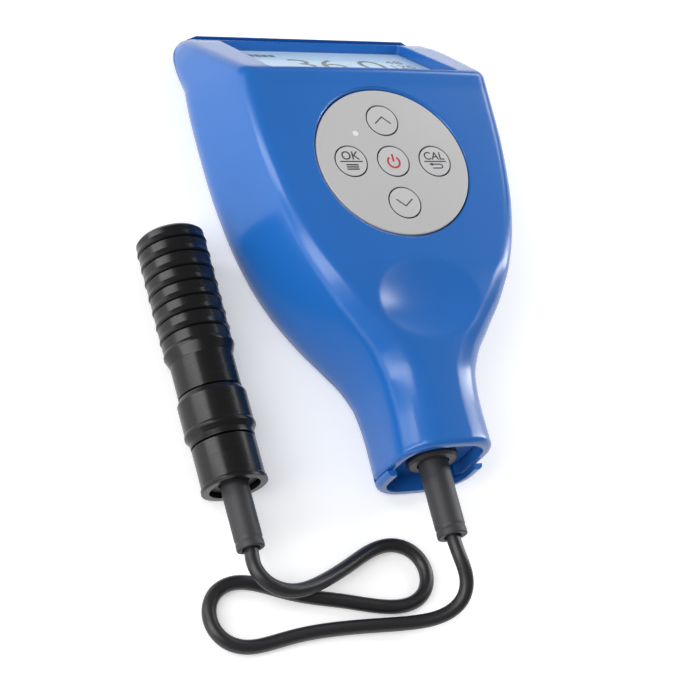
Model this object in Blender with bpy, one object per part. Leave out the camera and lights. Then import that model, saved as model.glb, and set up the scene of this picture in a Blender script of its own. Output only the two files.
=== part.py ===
"""Coating thickness gauge: a moulded handset on its back and a round probe on a cable.

Every size is in millimetres and is turned into metres where a mesh is made.
X is to the right of the keypad, Y is towards the display, Z is out of the keypad.
The origin is on the back face, straight below the middle of the keypad.
"""

import math

import bmesh
import bpy
from mathutils import Matrix, Vector

for leftover in list(bpy.data.objects):
    bpy.data.objects.remove(leftover, do_unlink=True)

MM = 0.001

# Fits
SEAT = 0.3            # gap that touching pieces keep
SLIDE = 0.3           # gap all round a sliding or turning piece
SCREW_FIT = 0.3       # gap round a screw's shank

# Battery bay, which sets the handset's inner heights and its length
CELL_R = 5.25
CELL_LONG = 44.5
CELL_NUB = 0.8
CELL_NUB_R = 1.9
CELL_SIDE = CELL_R + 0.35     # cell centre to the middle
SPRING_LONG = 2.1
SPRING_WIRE = 0.22
SPRING_COIL_R = 2.6
CONTACT_THICK = 0.4
CONTACT_HALF = 3.6
BRIDGE_HALF = CELL_SIDE + 3.8
CONTACT_LIFT = 1.2    # contacts above the cells' lowest line
CONTACT_SINK = 0.8    # contacts below the bay wall's top
COVER_THICK = 2.2
CELL_LOW = COVER_THICK + SEAT
BAY_NEAR = -27.4
BAY_FAR = BAY_NEAR + CELL_LONG + SPRING_LONG + 2 * CONTACT_THICK + 5 * SEAT
BAY_HALF = CELL_SIDE + CELL_R + 0.45
BAY_WALL = 1.4
BAY_TOP = CELL_LOW + 2 * CELL_R - 1.0

# Board
CELL_ROOM = 2.2       # room over the cells for the board's screws
BOARD_Z = CELL_LOW + 2 * CELL_R + CELL_ROOM
BOARD_THICK = 1.6
BOARD_NEAR = -33.0
BOARD_EDGE = 1.2      # gap to the shell's wall
BOARD_BOSS_R = 2.5
BOARD_BOSSES = [(14.0, -24.0), (-14.0, -24.0)]
SMALL_SCREW_R = 0.95
SMALL_HEAD_R = 1.9
SMALL_HEAD_HIGH = 1.4
SMALL_SCREW_IN = 4.0
BOSS_BLIND = 1.0      # hole left past the screw's point

# Pieces on the board: across, along, height
PROCESSOR = ((-21.0, -14.0), (3.0, 10.0), 1.4)
AMPLIFIER = ((-3.0, 2.0), (-23.0, -17.0), 1.4)
CRYSTAL = ((14.2, 17.2), (-14.5, -7.5), 2.2)
LEAD_SOCKET = ((-3.2, 3.2), (-31.5, -27.0), 3.4)

# Handset body, as y stations along its length
KEY_ROOM = 10.2       # board to keypad face
HEIGHT = BOARD_Z + BOARD_THICK + KEY_ROOM
FOLD_Y = BAY_FAR + 0.3        # where the face turns down to the display
FOLD_RISE = 0.2       # the fold stands this much over the face
HEAD_EDGE_Z = 4.8     # where the display slope ends
HEAD_END = FOLD_Y + HEIGHT + FOLD_RISE - HEAD_EDGE_Z
NECK_END = -61.1      # end of the rear shell at the cable
LIP_END = NECK_END + 1.5      # end of the front shell at the cable
HALF_WIDTH = [(NECK_END, 10.9), (-52.0, 11.1), (-45.0, 11.9), (-40.0, 14.0), (-35.0, 17.9),
              (-29.5, 22.4), (-23.0, 26.4), (-14.0, 29.8), (-5.0, 31.8), (8.0, 33.2),
              (22.0, 33.6), (34.0, 33.2), (HEAD_END, 31.8)]
SIDE_SLOPE = [(NECK_END, 0.6), (-43.0, 2.7), (-24.0, 5.3), (0.0, 5.4), (HEAD_END, 5.4)]
TOP_LINE = [(NECK_END, HEIGHT - 4.8), (-47.5, HEIGHT - 3.9), (-34.0, HEIGHT - 1.6), (-22.0, HEIGHT),
            (FOLD_Y, HEIGHT)]
UPPER_ROUND = [(NECK_END, 7.4), (-44.0, 7.2), (-28.0, 4.8), (-2.0, 2.9), (HEAD_END, 2.9)]
LOWER_ROUND = [(NECK_END, 7.2), (-43.0, 7.2), (-24.0, 8.0), (HEAD_END, 8.0)]
CROWN = 0.5           # rise of the face along its middle
HEAD_CORNER = 3.5     # rounding of the head's far end in plan
LIP_ROUND = 1.1       # rounding of the shells at the cable end
WALL = 2.0
DIMPLE_Y = -29.2      # middle of the thumb dimple
DIMPLE_Z = HEIGHT + 3.9       # height of its ball's centre
DIMPLE_BALL = (17.2, 12.4, 6.0)
PARTING = 4.2         # joint between the shells, above the back face
BOARD_FAR = FOLD_Y - 2.3

# Display
RECESS_HALF = 21.85
RECESS_NEAR = 0.9     # down the slope, from the fold
RECESS_FAR = (HEAD_END - FOLD_Y) * math.sqrt(2) - 4.08
RECESS_DEPTH = 2.3
WINDOW_THICK = 1.0
LEDGE_THICK = 0.9
LEDGE_WIDTH = 1.6
FRAME_THICK = 2.4
FRAME_HALF = RECESS_HALF - 1.25
FRAME_NEAR = RECESS_NEAR + 0.9
FRAME_FAR = RECESS_FAR - 1.8
FRAME_WALL = 1.0
LCD_THICK = 1.0
BLOCK_SIDE = 1.75     # wall round the display recess
RIBBON_HALF = 7.0
RIBBON_THICK = 0.3
RIBBON_BACK = 3.4     # ribbon's upper end, back from the fold

# Keypad
PANEL_R = 16.7
PANEL_THICK = 1.2
PANEL_SINK = 0.2      # panel face below the shell's face
SHELF_THICK = 1.3
SHELF_R = PANEL_R + 2.3
KEY_PITCH = 9.5
KEY_R = 3.35
KEY_FLANGE = 0.65     # flange beyond the cap
KEY_FLANGE_THICK = 0.8
KEY_STEM_R = 1.5
KEY_TRAVEL = 0.4
SWITCH_SIZE = 6.2
SWITCH_HIGH = 3.4
PLUNGER_R = 1.5
PLUNGER_OUT = 0.8     # plunger above the switch
PLUNGER_IN = 1.1      # plunger inside the switch
LAMP_XY = (-6.8, 6.5)
LAMP_R = 0.7
LAMP_FLANGE_R = 1.4
LAMP_FLANGE_THICK = 0.8
LED_HIGH = 1.5

# Case screws
CASE_BOSSES = [(21.5, FOLD_Y - 6.8), (-21.5, FOLD_Y - 6.8), (7.8, -37.6), (-7.8, -37.6)]
CASE_BOSS_R = 2.9
CASE_BOSS_TOP = 6.0
CASE_SEAT_Z = 2.6
CASE_HEAD_R = 2.0
CASE_HEAD_HIGH = 1.6
CASE_SCREW_IN = 9.0
CASE_BLIND = 5.6      # hole left over the end of a case screw's reach

# Battery cover
COVER_NEAR = BAY_NEAR - 1.6
COVER_HALF = BAY_HALF + 1.3
COVER_TONGUE = 1.3    # tongue beyond the cover's sides
COVER_STEP_Z = 1.3    # underside of the tongue
PLATFORM_Z = 3.5
PLATFORM_HALF = COVER_HALF + 3.0
COVER_GRIPS = 6
GRIP_PITCH = 2.2
GRIP_DEEP = 0.5
GRIP_HALF = 7.0
GRIP_FIRST_Y = HEAD_END - 18.2

# Cable outlet
OUTLET_Z = 10.8
RIM_TOP = OUTLET_Z + 0.5      # top of the rear shell's rim at the cable
END_WALL_Y = NECK_END + 3.8
END_WALL_THICK = 1.8
END_FOOT_HALF = 6.0   # where the end wall grows out of the rear shell's floor
GLAND_R = 5.2
GLAND_FACE = 1.4      # thickness of each gland flange
GLAND_NECK_R = 4.1
BOOT_R = 3.0
BOOT_LONG = 15.4
BOOT_FLANGE = 1.0
BOOT_FLANGE_THICK = 1.2
BOOT_BORE_DEEP = 3.0
CABLE_R = 1.4
CABLE_IN_BORE = 0.35  # gap round the cable in a boot
LEAD_R = 0.9

# Probe, measured along its axis from the cable end
PROBE_END = (-40.95, -59.3)
PROBE_TURN = 1.9      # degrees, from the handset's length
PROBE_R = 7.0
PROBE_LONG = 53.5
BORE_R = PROBE_R - 2.0
SLEEVE_R = PROBE_R - 0.75
SLEEVE_RING_R = PROBE_R - 0.5
SLEEVE_RING = 0.8
SLEEVE_LONG = 8.9
NECK_R = PROBE_R - 0.7
BAND_R = PROBE_R - 0.18
COLLAR_BEVEL = 10.2
COLLAR_EDGE = 11.3
COLLAR_FAR = 19.2
COLLAR_BREAK = 1.1
RIB_FIRST = PROBE_LONG - 21.7
RIB_PITCH = 3.18
RIB_COUNT = 7
RIB_WIDE = 0.9
GRIP_EDGE = RIB_FIRST - 3.5
GRIP_BEVEL = GRIP_EDGE - 2.0
GROOVE_R = PROBE_R - 0.65
GROOVE_WIDE = 0.45
CAP_SINK = 1.0
CAP_THICK = 2.0
PROBE_BOOT_R = 2.73
PROBE_BOOT_LONG = 12.4
PROBE_BOOT_FLANGE = 1.0
PROBE_BOOT_FLANGE_THICK = 1.3
TUBE_R = BORE_R - SEAT
TUBE_BORE_R = TUBE_R - 0.8
TUBE_FAR = PROBE_LONG - 3.8
SHOULDER_NEAR = PROBE_LONG - 16.5
SHOULDER_LONG = 3.0
HEAD_R = 2.55
HEAD_BORE_R = 1.95
HEAD_TAIL = PROBE_LONG - 19.0
HEAD_FLANGE_R = TUBE_BORE_R - 0.35
HEAD_FLANGE_THICK = 1.5
HEAD_OUT = 1.3        # measuring head beyond the nose
NOSE_FAR = PROBE_LONG - 0.3
CORE_R = 0.65
CORE_BASE = 1.2       # thickness of the core's foot
CORE_BASE_ROOM = 3.0  # foot and the gap in front of it
COIL_LONG = 4.0
TIP_LONG = 1.5
PROBE_SPRING_WIRE = 0.24
PROBE_SPRING_TURNS = 4

# Cable, from the handset's boot to the probe's boot; points chosen along its middle
CABLE_POINTS = [
    (0.6, -78.8, 10.5), (1.9, -82.6, 9.2), (0.9, -86.4, 7.0), (-3.1, -88.3, 4.7), (-8.3, -88.2, 2.9),
    (-14.0, -87.6, 1.8), (-20.0, -87.2, 1.45), (-26.5, -87.1, 1.45), (-32.5, -87.4, 1.45),
    (-38.0, -88.3, 1.45), (-43.4, -89.0, 1.45), (-48.0, -87.0, 1.45), (-49.9, -82.3, 1.45),
    (-48.0, -77.5, 1.45), (-43.2, -75.5, 1.45), (-38.0, -76.7, 1.45), (-33.0, -79.0, 1.45),
    (-27.5, -80.6, 1.45), (-21.5, -81.8, 1.45), (-15.0, -83.7, 1.45), (-8.8, -84.6, 1.45),
    (-3.8, -82.7, 1.45), (-1.8, -77.9, 1.45), (-3.8, -73.1, 1.45), (-8.6, -71.2, 1.45),
    (-13.8, -72.5, 1.8), (-18.8, -75.2, 2.6), (-24.0, -77.6, 3.8), (-29.3, -79.7, 5.3),
    (-34.6, -80.7, 6.4), (-39.4, -78.5, 7.0), (-41.0, -74.6, 7.0)]
CABLE_STEPS = 2       # route pieces between two points


# Helpers

def smooth(stations, y):
    """Height of the soft curve through the stations, held level past both ends."""
    ys = [s[0] for s in stations]
    vs = [s[1] for s in stations]
    if y <= ys[0]:
        return vs[0]
    if y >= ys[-1]:
        return vs[-1]
    slopes = []
    for i in range(len(ys) - 1):
        slopes.append((vs[i + 1] - vs[i]) / (ys[i + 1] - ys[i]))
    tangents = [slopes[0]]
    for i in range(1, len(slopes)):
        a, b = slopes[i - 1], slopes[i]
        tangents.append(0.0 if a * b <= 0 else 2 * a * b / (a + b))
    tangents.append(slopes[-1])
    i = max(k for k in range(len(ys) - 1) if ys[k] <= y)
    h = ys[i + 1] - ys[i]
    t = (y - ys[i]) / h
    return (vs[i] * (2 * t**3 - 3 * t**2 + 1) + tangents[i] * h * (t**3 - 2 * t**2 + t)
            + vs[i + 1] * (3 * t**2 - 2 * t**3) + tangents[i + 1] * h * (t**3 - t**2))


def finish(name, colour, roughness, metallic=0.0, alpha=1.0):
    """Plain Principled material in a linear colour."""
    material = bpy.data.materials.new(name)
    material.use_nodes = True
    shader = material.node_tree.nodes["Principled BSDF"]
    shader.inputs["Base Color"].default_value = (*colour, 1.0)
    shader.inputs["Roughness"].default_value = roughness
    shader.inputs["Metallic"].default_value = metallic
    shader.inputs["Alpha"].default_value = alpha
    material.diffuse_color = (*colour, alpha)
    return material


def add_object(name, bm, material, smooth_angle=35.0):
    """Object from a bmesh in metres, shaded smooth up to an angle."""
    bmesh.ops.remove_doubles(bm, verts=bm.verts, dist=1e-7)
    bmesh.ops.recalc_face_normals(bm, faces=bm.faces)
    for face in bm.faces:
        face.smooth = True
    for edge in bm.edges:
        if len(edge.link_faces) == 2:
            edge.smooth = edge.calc_face_angle() < math.radians(smooth_angle)
    mesh = bpy.data.meshes.new(name)
    bm.to_mesh(mesh)
    bm.free()
    if material:
        mesh.materials.append(material)
    item = bpy.data.objects.new(name, mesh)
    bpy.context.scene.collection.objects.link(item)
    return item


def place(bm, frame):
    bmesh.ops.transform(bm, matrix=frame, verts=bm.verts)


def along_y(x, z):
    """Frame that lays a turned piece along Y at a side and height."""
    return Matrix.Translation((x * MM, 0, z * MM)) @ Matrix.Rotation(math.radians(-90), 4, "X")


def upright(x, y):
    return Matrix.Translation((x * MM, y * MM, 0))


def turned_mesh(profile, segments, frame):
    """Closed solid turned from (along, radius) points; ends on the axis may be open."""
    bm = bmesh.new()
    verts = [bm.verts.new((r * MM, 0, a * MM)) for a, r in profile]
    edges = [bm.edges.new(pair) for pair in zip(verts, verts[1:])]
    if profile[0][1] > 0 and profile[-1][1] > 0:
        edges.append(bm.edges.new((verts[-1], verts[0])))
    bmesh.ops.spin(bm, geom=verts + edges, cent=(0, 0, 0), axis=(0, 0, 1), dvec=(0, 0, 0),
                   angle=2 * math.pi, steps=segments, use_merge=True, use_duplicate=False)
    bmesh.ops.remove_doubles(bm, verts=bm.verts, dist=1e-7)
    bmesh.ops.dissolve_degenerate(bm, dist=1e-7, edges=bm.edges)
    ends = [v for v in bm.verts if math.hypot(v.co.x, v.co.y) < 1e-7]
    flat = [v for v in ends if all(abs(e.other_vert(v).co.z - v.co.z) < 1e-7 for e in v.link_edges)]
    bmesh.ops.dissolve_verts(bm, verts=flat)
    place(bm, frame)
    return bm


def turned(name, profile, material, segments=24, frame=Matrix()):
    return add_object(name, turned_mesh(profile, segments, frame), material)


def box_mesh(x, y, z, frame=Matrix()):
    """Box from three (low, high) pairs."""
    bm = bmesh.new()
    size = Matrix.Diagonal(((x[1] - x[0]) * MM, (y[1] - y[0]) * MM, (z[1] - z[0]) * MM, 1))
    centre = Matrix.Translation(((x[0] + x[1]) / 2 * MM, (y[0] + y[1]) / 2 * MM, (z[0] + z[1]) / 2 * MM))
    bmesh.ops.create_cube(bm, size=1, matrix=centre @ size)
    place(bm, frame)
    return bm


def box(name, x, y, z, material, frame=Matrix(), edge=0.0):
    bm = box_mesh(x, y, z, frame)
    if edge:
        bmesh.ops.bevel(bm, geom=bm.edges, offset=edge * MM, segments=1, affect="EDGES", profile=0.5)
    return add_object(name, bm, material)


def prism_mesh(outline, low, high, plane="XY"):
    """Outline pushed from low to high across its plane; XY goes along Z, YZ goes along X."""
    bm = bmesh.new()
    if plane == "XY":
        verts = [bm.verts.new((a * MM, b * MM, low * MM)) for a, b in outline]
        push = (0, 0, (high - low) * MM)
    else:
        verts = [bm.verts.new((low * MM, a * MM, b * MM)) for a, b in outline]
        push = ((high - low) * MM, 0, 0)
    face = bm.faces.new(verts)
    grown = bmesh.ops.extrude_face_region(bm, geom=[face])
    moved = [g for g in grown["geom"] if isinstance(g, bmesh.types.BMVert)]
    bmesh.ops.translate(bm, vec=push, verts=moved)
    return bm


def strip_outline(path, thick):
    """Outline of a bent strip of one thickness along a path of two-value points."""
    left, right = [], []
    for i, point in enumerate(path):
        before = Vector(path[max(i - 1, 0)])
        after = Vector(path[min(i + 1, len(path) - 1)])
        along = (after - before).normalized()
        side = Vector((-along.y, along.x)) * thick / 2
        left.append(tuple(Vector(point) + side))
        right.append(tuple(Vector(point) - side))
    return left + right[::-1]


def merge(meshes):
    """One bmesh holding several separate closed shapes."""
    whole = bmesh.new()
    for bm in meshes:
        part = bpy.data.meshes.new("part")
        bm.to_mesh(part)
        bm.free()
        whole.from_mesh(part)
        bpy.data.meshes.remove(part)
    return whole


def shape(target, meshes, action):
    """Add meshes to an object, or cut them from it, one Boolean each."""
    for bm in meshes:
        tool = add_object(target.name + "_tool", bm, None)
        tool.hide_render = True
        tool.display_type = "WIRE"
        step = target.modifiers.new(action.lower(), "BOOLEAN")
        step.operation = action
        step.solver = "EXACT"
        step.object = tool


def cut(target, meshes):
    shape(target, meshes, "DIFFERENCE")


def join(target, meshes):
    shape(target, meshes, "UNION")


def coil_curve(name, radius, wire, low, high, turns, material, frame, per_turn=8):
    """Round coil spring as a bevelled curve along the frame's Z axis."""
    curve = bpy.data.curves.new(name, "CURVE")
    curve.dimensions = "3D"
    curve.bevel_depth = wire * MM
    curve.bevel_resolution = 0
    curve.use_fill_caps = True
    line = curve.splines.new("POLY")
    count = int(turns * per_turn) + 1
    line.points.add(count - 1)
    for i in range(count):
        angle = 2 * math.pi * i / per_turn
        height = low + wire + (high - low - 2 * wire) * i / (count - 1)
        spot = frame @ Vector((radius * math.cos(angle) * MM, radius * math.sin(angle) * MM, height * MM))
        line.points[i].co = (*spot, 1)
    item = bpy.data.objects.new(name, curve)
    curve.materials.append(material)
    bpy.context.scene.collection.objects.link(item)
    return item


def tube_curve(name, points, radius, material, resolution):
    """Round cable along points in millimetres."""
    curve = bpy.data.curves.new(name, "CURVE")
    curve.dimensions = "3D"
    curve.bevel_depth = radius * MM
    curve.bevel_resolution = resolution
    curve.use_fill_caps = True
    line = curve.splines.new("POLY")
    line.points.add(len(points) - 1)
    for i, point in enumerate(points):
        line.points[i].co = (point[0] * MM, point[1] * MM, point[2] * MM, 1)
    item = bpy.data.objects.new(name, curve)
    curve.materials.append(material)
    bpy.context.scene.collection.objects.link(item)
    return item


# Finishes

blue = finish("blue_shell", (0.022, 0.133, 0.42), 0.32)
panel_grey = finish("grey_panel", (0.5, 0.5, 0.5), 0.5)
key_grey = finish("grey_key", (0.53, 0.53, 0.53), 0.45)
clear = finish("clear_window", (0.85, 0.9, 0.95), 0.05, alpha=0.35)
lcd_glass = finish("lcd_glass", (0.48, 0.7, 0.92), 0.2)
white_plastic = finish("white_plastic", (0.7, 0.7, 0.68), 0.5)
amber_flex = finish("amber_flex", (0.45, 0.2, 0.03), 0.45)
lamp_clear = finish("lamp_clear", (0.8, 0.85, 0.8), 0.15, alpha=0.6)
board_green = finish("board_green", (0.01, 0.12, 0.04), 0.4)
black_plastic = finish("black_plastic", (0.02, 0.02, 0.02), 0.45)
steel = finish("steel", (0.55, 0.55, 0.56), 0.3, 1.0)
cell_wrap = finish("cell_wrap", (0.05, 0.05, 0.055), 0.35)
black_rubber = finish("black_rubber", (0.035, 0.035, 0.04), 0.6)
cable_skin = finish("cable_skin", (0.02, 0.02, 0.022), 0.45)
black_metal = finish("black_anodised", (0.012, 0.012, 0.013), 0.22, 0.6)
brass = finish("brass", (0.6, 0.42, 0.14), 0.3, 1.0)
ferrite = finish("ferrite", (0.08, 0.08, 0.085), 0.5)
copper = finish("copper", (0.7, 0.3, 0.15), 0.35, 1.0)


# Handset body sections

def top_height(y):
    """Height of the outer skin along the middle."""
    if y > FOLD_Y:
        return HEIGHT + FOLD_RISE - (y - FOLD_Y)
    rise = FOLD_RISE * max(0.0, 1 - (FOLD_Y - y) / 4.0)
    return smooth(TOP_LINE, y) + rise


def corner(point, to_before, to_after, radius, count):
    """Arc that rounds a corner between two directions."""
    angle = to_before.angle(to_after)
    back = radius / math.tan(angle / 2)
    start = point + to_before * back
    end = point + to_after * back
    middle = point + (to_before + to_after).normalized() * radius / math.sin(angle / 2)
    first = math.atan2(start.y - middle.y, start.x - middle.x)
    turn = math.atan2(end.y - middle.y, end.x - middle.x) - first
    turn = (turn + math.pi) % (2 * math.pi) - math.pi
    arc = []
    for i in range(count):
        a = first + turn * i / (count - 1)
        arc.append(middle + Vector((math.cos(a), math.sin(a))) * radius)
    return arc


def half_section(y, inset, end_inset, upper_count, lower_count):
    """Right half of the body's section from the middle of the top to the middle of the back."""
    slope = math.sqrt(2) if y > FOLD_Y else 1.0
    top = top_height(y) - inset * slope - end_inset
    low = inset + end_inset * 0.6
    high = max(top - low, 0.8)
    low_half = smooth(HALF_WIDTH, y) - inset - end_inset
    top_half = low_half - smooth(SIDE_SLOPE, y) * high / HEIGHT
    upper = min(max(smooth(UPPER_ROUND, y) - inset, 0.8), 0.38 * high)
    lower = min(max(smooth(LOWER_ROUND, y) - inset, 0.8), 0.42 * high)
    top_corner = Vector((top_half, low + high))
    low_corner = Vector((low_half, low))
    inward = Vector((-1, 0))
    down = (low_corner - top_corner).normalized()
    arc_top = corner(top_corner, inward, down, upper, upper_count)
    arc_low = corner(low_corner, -down, inward, lower, lower_count)
    points = [Vector((0, low + high)), Vector((arc_top[0].x * 0.55, low + high))]
    points += arc_top + arc_low
    points += [Vector((arc_low[-1].x * 0.5, low)), Vector((0, low))]
    crowned = []
    for p in points:
        above = p.y > low + high * 0.5
        drop = CROWN * (p.x / top_half) ** 2 if above and high > 8 else 0.0
        crowned.append((p.x, p.y - drop))
    return crowned


def body_mesh(inset, near, far, steps, upper_count=3, lower_count=4, near_round=0.0, far_round=0.0):
    """Closed loft of the body between two ends, moved in by an inset."""
    bm = bmesh.new()
    stations = [(y, 0.0) for y in steps if near + near_round < y < far - far_round]
    for k in range(3):
        a = math.pi / 2 * k / 2
        if near_round:
            stations.append((near + near_round * (1 - math.cos(a)), near_round * (1 - math.sin(a))))
        if far_round:
            stations.append((far - far_round * (1 - math.cos(a)), far_round * (1 - math.sin(a))))
    if not near_round:
        stations.append((near, 0.0))
    if not far_round:
        stations.append((far, 0.0))
    rings = []
    for y, end_inset in sorted(stations):
        half = half_section(y, inset, end_inset, upper_count, lower_count)
        ring = half + [(-x, z) for x, z in half[-2:0:-1]]
        rings.append([bm.verts.new((x * MM, y * MM, z * MM)) for x, z in ring])
    for a, b in zip(rings, rings[1:]):
        for i in range(len(a)):
            j = (i + 1) % len(a)
            bm.faces.new((a[i], a[j], b[j], b[i]))
    bm.faces.new(rings[0])
    bm.faces.new(rings[-1])
    bmesh.ops.triangulate(bm, faces=bm.faces)
    return bm


OUTER_STEPS = [-54, -47, -42, -38, -34, -29.5, -24, -17, -7, 6, FOLD_Y - 2.5, FOLD_Y, 32]
INNER_STEPS = [-55, -47, -40, -34, -28, -18, -4, FOLD_Y - 1.2, 31]


# Display frame of reference: X across, Y down the slope from the fold, Z out of the slope
SLOPE = (Matrix.Translation((0, FOLD_Y * MM, (HEIGHT + FOLD_RISE) * MM))
         @ Matrix.Rotation(math.radians(-45), 4, "X"))
window_back = RECESS_DEPTH + WINDOW_THICK
ledge_top = window_back + SEAT
ledge_back = ledge_top + LEDGE_THICK
frame_top = ledge_back + SEAT
frame_back = frame_top + FRAME_THICK

# Heights through the keypad
panel_top = HEIGHT - PANEL_SINK
panel_low = panel_top - PANEL_THICK
shelf_top = panel_low - SEAT
shelf_low = shelf_top - SHELF_THICK
board_top = BOARD_Z + BOARD_THICK
switch_low = board_top + SEAT
switch_top = switch_low + SWITCH_HIGH
plunger_top = switch_top + PLUNGER_OUT
key_holes = KEY_R + SLIDE
flange_r = KEY_R + KEY_FLANGE
flange_top = shelf_top
flange_low = flange_top - KEY_FLANGE_THICK
KEYS = {"power": (0, 0), "up": (0, KEY_PITCH), "down": (0, -KEY_PITCH),
        "ok": (-KEY_PITCH, 0), "cal": (KEY_PITCH, 0)}


def cylinder_mesh(x, y, low, high, radius, segments=12):
    return turned_mesh([(low, 0), (low, radius), (high, radius), (high, 0)], segments, upright(x, y))


def dimple_mesh(grow):
    """Shallow thumb dimple as part of a long ball, or its backing when grown."""
    bm = bmesh.new()
    bmesh.ops.create_uvsphere(bm, u_segments=18, v_segments=9, radius=MM)
    place(bm, Matrix.Rotation(math.radians(90), 4, "Y"))
    size = Matrix.Diagonal((DIMPLE_BALL[0] + grow, DIMPLE_BALL[1] + grow, DIMPLE_BALL[2] + grow, 1))
    place(bm, Matrix.Translation((0, DIMPLE_Y * MM, DIMPLE_Z * MM)) @ size)
    bmesh.ops.triangulate(bm, faces=bm.faces)
    return bm


# Front shell
front_shell = add_object("front_shell", body_mesh(0.0, LIP_END, HEAD_END, OUTER_STEPS,
                                                  near_round=LIP_ROUND, far_round=HEAD_CORNER), blue)
hollow = add_object("front_shell_hollow",
                    body_mesh(WALL, LIP_END - 3, HEAD_END - WALL, INNER_STEPS, 2, 3), None)
hollow.hide_render = True
hollow.display_type = "WIRE"
block_half = RECESS_HALF + BLOCK_SIDE
cut(hollow, [box_mesh((-block_half, block_half), (RECESS_NEAR - BLOCK_SIDE, RECESS_FAR + BLOCK_SIDE),
                      (-ledge_back, 10), SLOPE),
             cylinder_mesh(0, 0, shelf_low, HEIGHT + 5, SHELF_R, 20),
             dimple_mesh(WALL - 0.2)])
cut(hollow, [merge([cylinder_mesh(x, y, CASE_BOSS_TOP + SEAT, HEIGHT + 5, CASE_BOSS_R)
                    for x, y in CASE_BOSSES]),
             merge([cylinder_mesh(x, y, board_top + SEAT, HEIGHT + 5, BOARD_BOSS_R)
                    for x, y in BOARD_BOSSES])])
keep = front_shell.modifiers.new("hollow", "BOOLEAN")
keep.operation = "DIFFERENCE"
keep.solver = "EXACT"
keep.object = hollow
cut(front_shell, [box_mesh((-60, 60), (NECK_END - 9, HEAD_END + 9), (-20, PARTING + SEAT)),
                  box_mesh((-RECESS_HALF, RECESS_HALF), (RECESS_NEAR, RECESS_FAR), (-ledge_top, 12), SLOPE),
                  box_mesh((-RECESS_HALF + LEDGE_WIDTH, RECESS_HALF - LEDGE_WIDTH),
                           (RECESS_NEAR + LEDGE_WIDTH, RECESS_FAR - LEDGE_WIDTH - 0.5),
                           (-ledge_back - 2, 0), SLOPE),
                  cylinder_mesh(0, 0, shelf_top, HEIGHT + 5, PANEL_R + SEAT, 32),
                  dimple_mesh(0.0),
                  cylinder_mesh(*LAMP_XY, shelf_low - 1, HEIGHT, LAMP_R + SEAT, 8)])
case_hole_top = CASE_SEAT_Z + CASE_SCREW_IN + CASE_BLIND
board_hole_top = board_top + SMALL_SCREW_IN + BOSS_BLIND
screw_hole = SMALL_SCREW_R + SCREW_FIT
cut(front_shell, [merge([cylinder_mesh(x, y, shelf_low - 1, HEIGHT, flange_r + SLIDE, 14)
                         for x, y in KEYS.values()]),
                  merge([cylinder_mesh(x, y, 0, case_hole_top, screw_hole, 10) for x, y in CASE_BOSSES]
                        + [cylinder_mesh(x, y, 0, board_hole_top, screw_hole, 10) for x, y in BOARD_BOSSES])])


# Rear shell: a shallow tray with the battery bay, screw bosses and the wall that holds the gland
rear_shell = add_object("rear_shell", body_mesh(0.0, NECK_END, HEAD_END, OUTER_STEPS, 2, 4,
                                                near_round=LIP_ROUND, far_round=HEAD_CORNER), blue)
rim_near = LIP_END - SEAT
far_out = HEAD_END + 9
near_out = NECK_END - 9
keep_outline = [(near_out, -5), (far_out, -5), (far_out, PARTING), (rim_near, PARTING), (rim_near, RIM_TOP),
                (near_out, RIM_TOP)]
shape(rear_shell, [prism_mesh(keep_outline, -60, 60, "YZ")], "INTERSECT")
cut(rear_shell, [body_mesh(WALL, LIP_END - 6, HEAD_END - WALL, INNER_STEPS, 2, 3)])
end_wall = body_mesh(WALL + SEAT, END_WALL_Y, END_WALL_Y + END_WALL_THICK, [], 2, 3)
bay_half_out = BAY_HALF + BAY_WALL
wall_span = (END_WALL_Y, END_WALL_Y + END_WALL_THICK)
join(rear_shell, [end_wall, box_mesh((-END_FOOT_HALF, END_FOOT_HALF), wall_span, (WALL / 2, OUTLET_Z / 2)),
                  box_mesh((-PLATFORM_HALF, PLATFORM_HALF), (COVER_NEAR - 1.8, HEAD_END - WALL - 0.5),
                           (WALL - 0.5, PLATFORM_Z)),
                  box_mesh((-bay_half_out, bay_half_out), (BAY_NEAR - BAY_WALL, BAY_FAR + BAY_WALL),
                           (2.0, BAY_TOP))])
join(rear_shell, [merge([cylinder_mesh(x, y, 1.6, CASE_BOSS_TOP, CASE_BOSS_R) for x, y in CASE_BOSSES])])
tongue_half = COVER_HALF + COVER_TONGUE
gland_hole = GLAND_NECK_R + SEAT
gland_far = END_WALL_Y + END_WALL_THICK + 5
cut(rear_shell, [box_mesh((-BAY_HALF, BAY_HALF), (BAY_NEAR, BAY_FAR), (-5, 40)),
                 box_mesh((-COVER_HALF - SLIDE, COVER_HALF + SLIDE), (COVER_NEAR - SLIDE, far_out),
                          (-5, COVER_STEP_Z)),
                 box_mesh((-tongue_half - SLIDE, tongue_half + SLIDE), (COVER_NEAR - SLIDE, far_out),
                          (COVER_STEP_Z - SLIDE, COVER_THICK + SLIDE)),
                 turned_mesh([(near_out, 0), (near_out, gland_hole), (gland_far, gland_hole), (gland_far, 0)],
                             16, along_y(0, OUTLET_Z))])
counterbore = [(-5, 0), (-5, CASE_HEAD_R + SCREW_FIT), (CASE_SEAT_Z, CASE_HEAD_R + SCREW_FIT),
               (CASE_SEAT_Z, screw_hole), (10, screw_hole), (10, 0)]
cut(rear_shell, [merge([turned_mesh(counterbore, 12, upright(x, y)) for x, y in CASE_BOSSES])])


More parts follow.
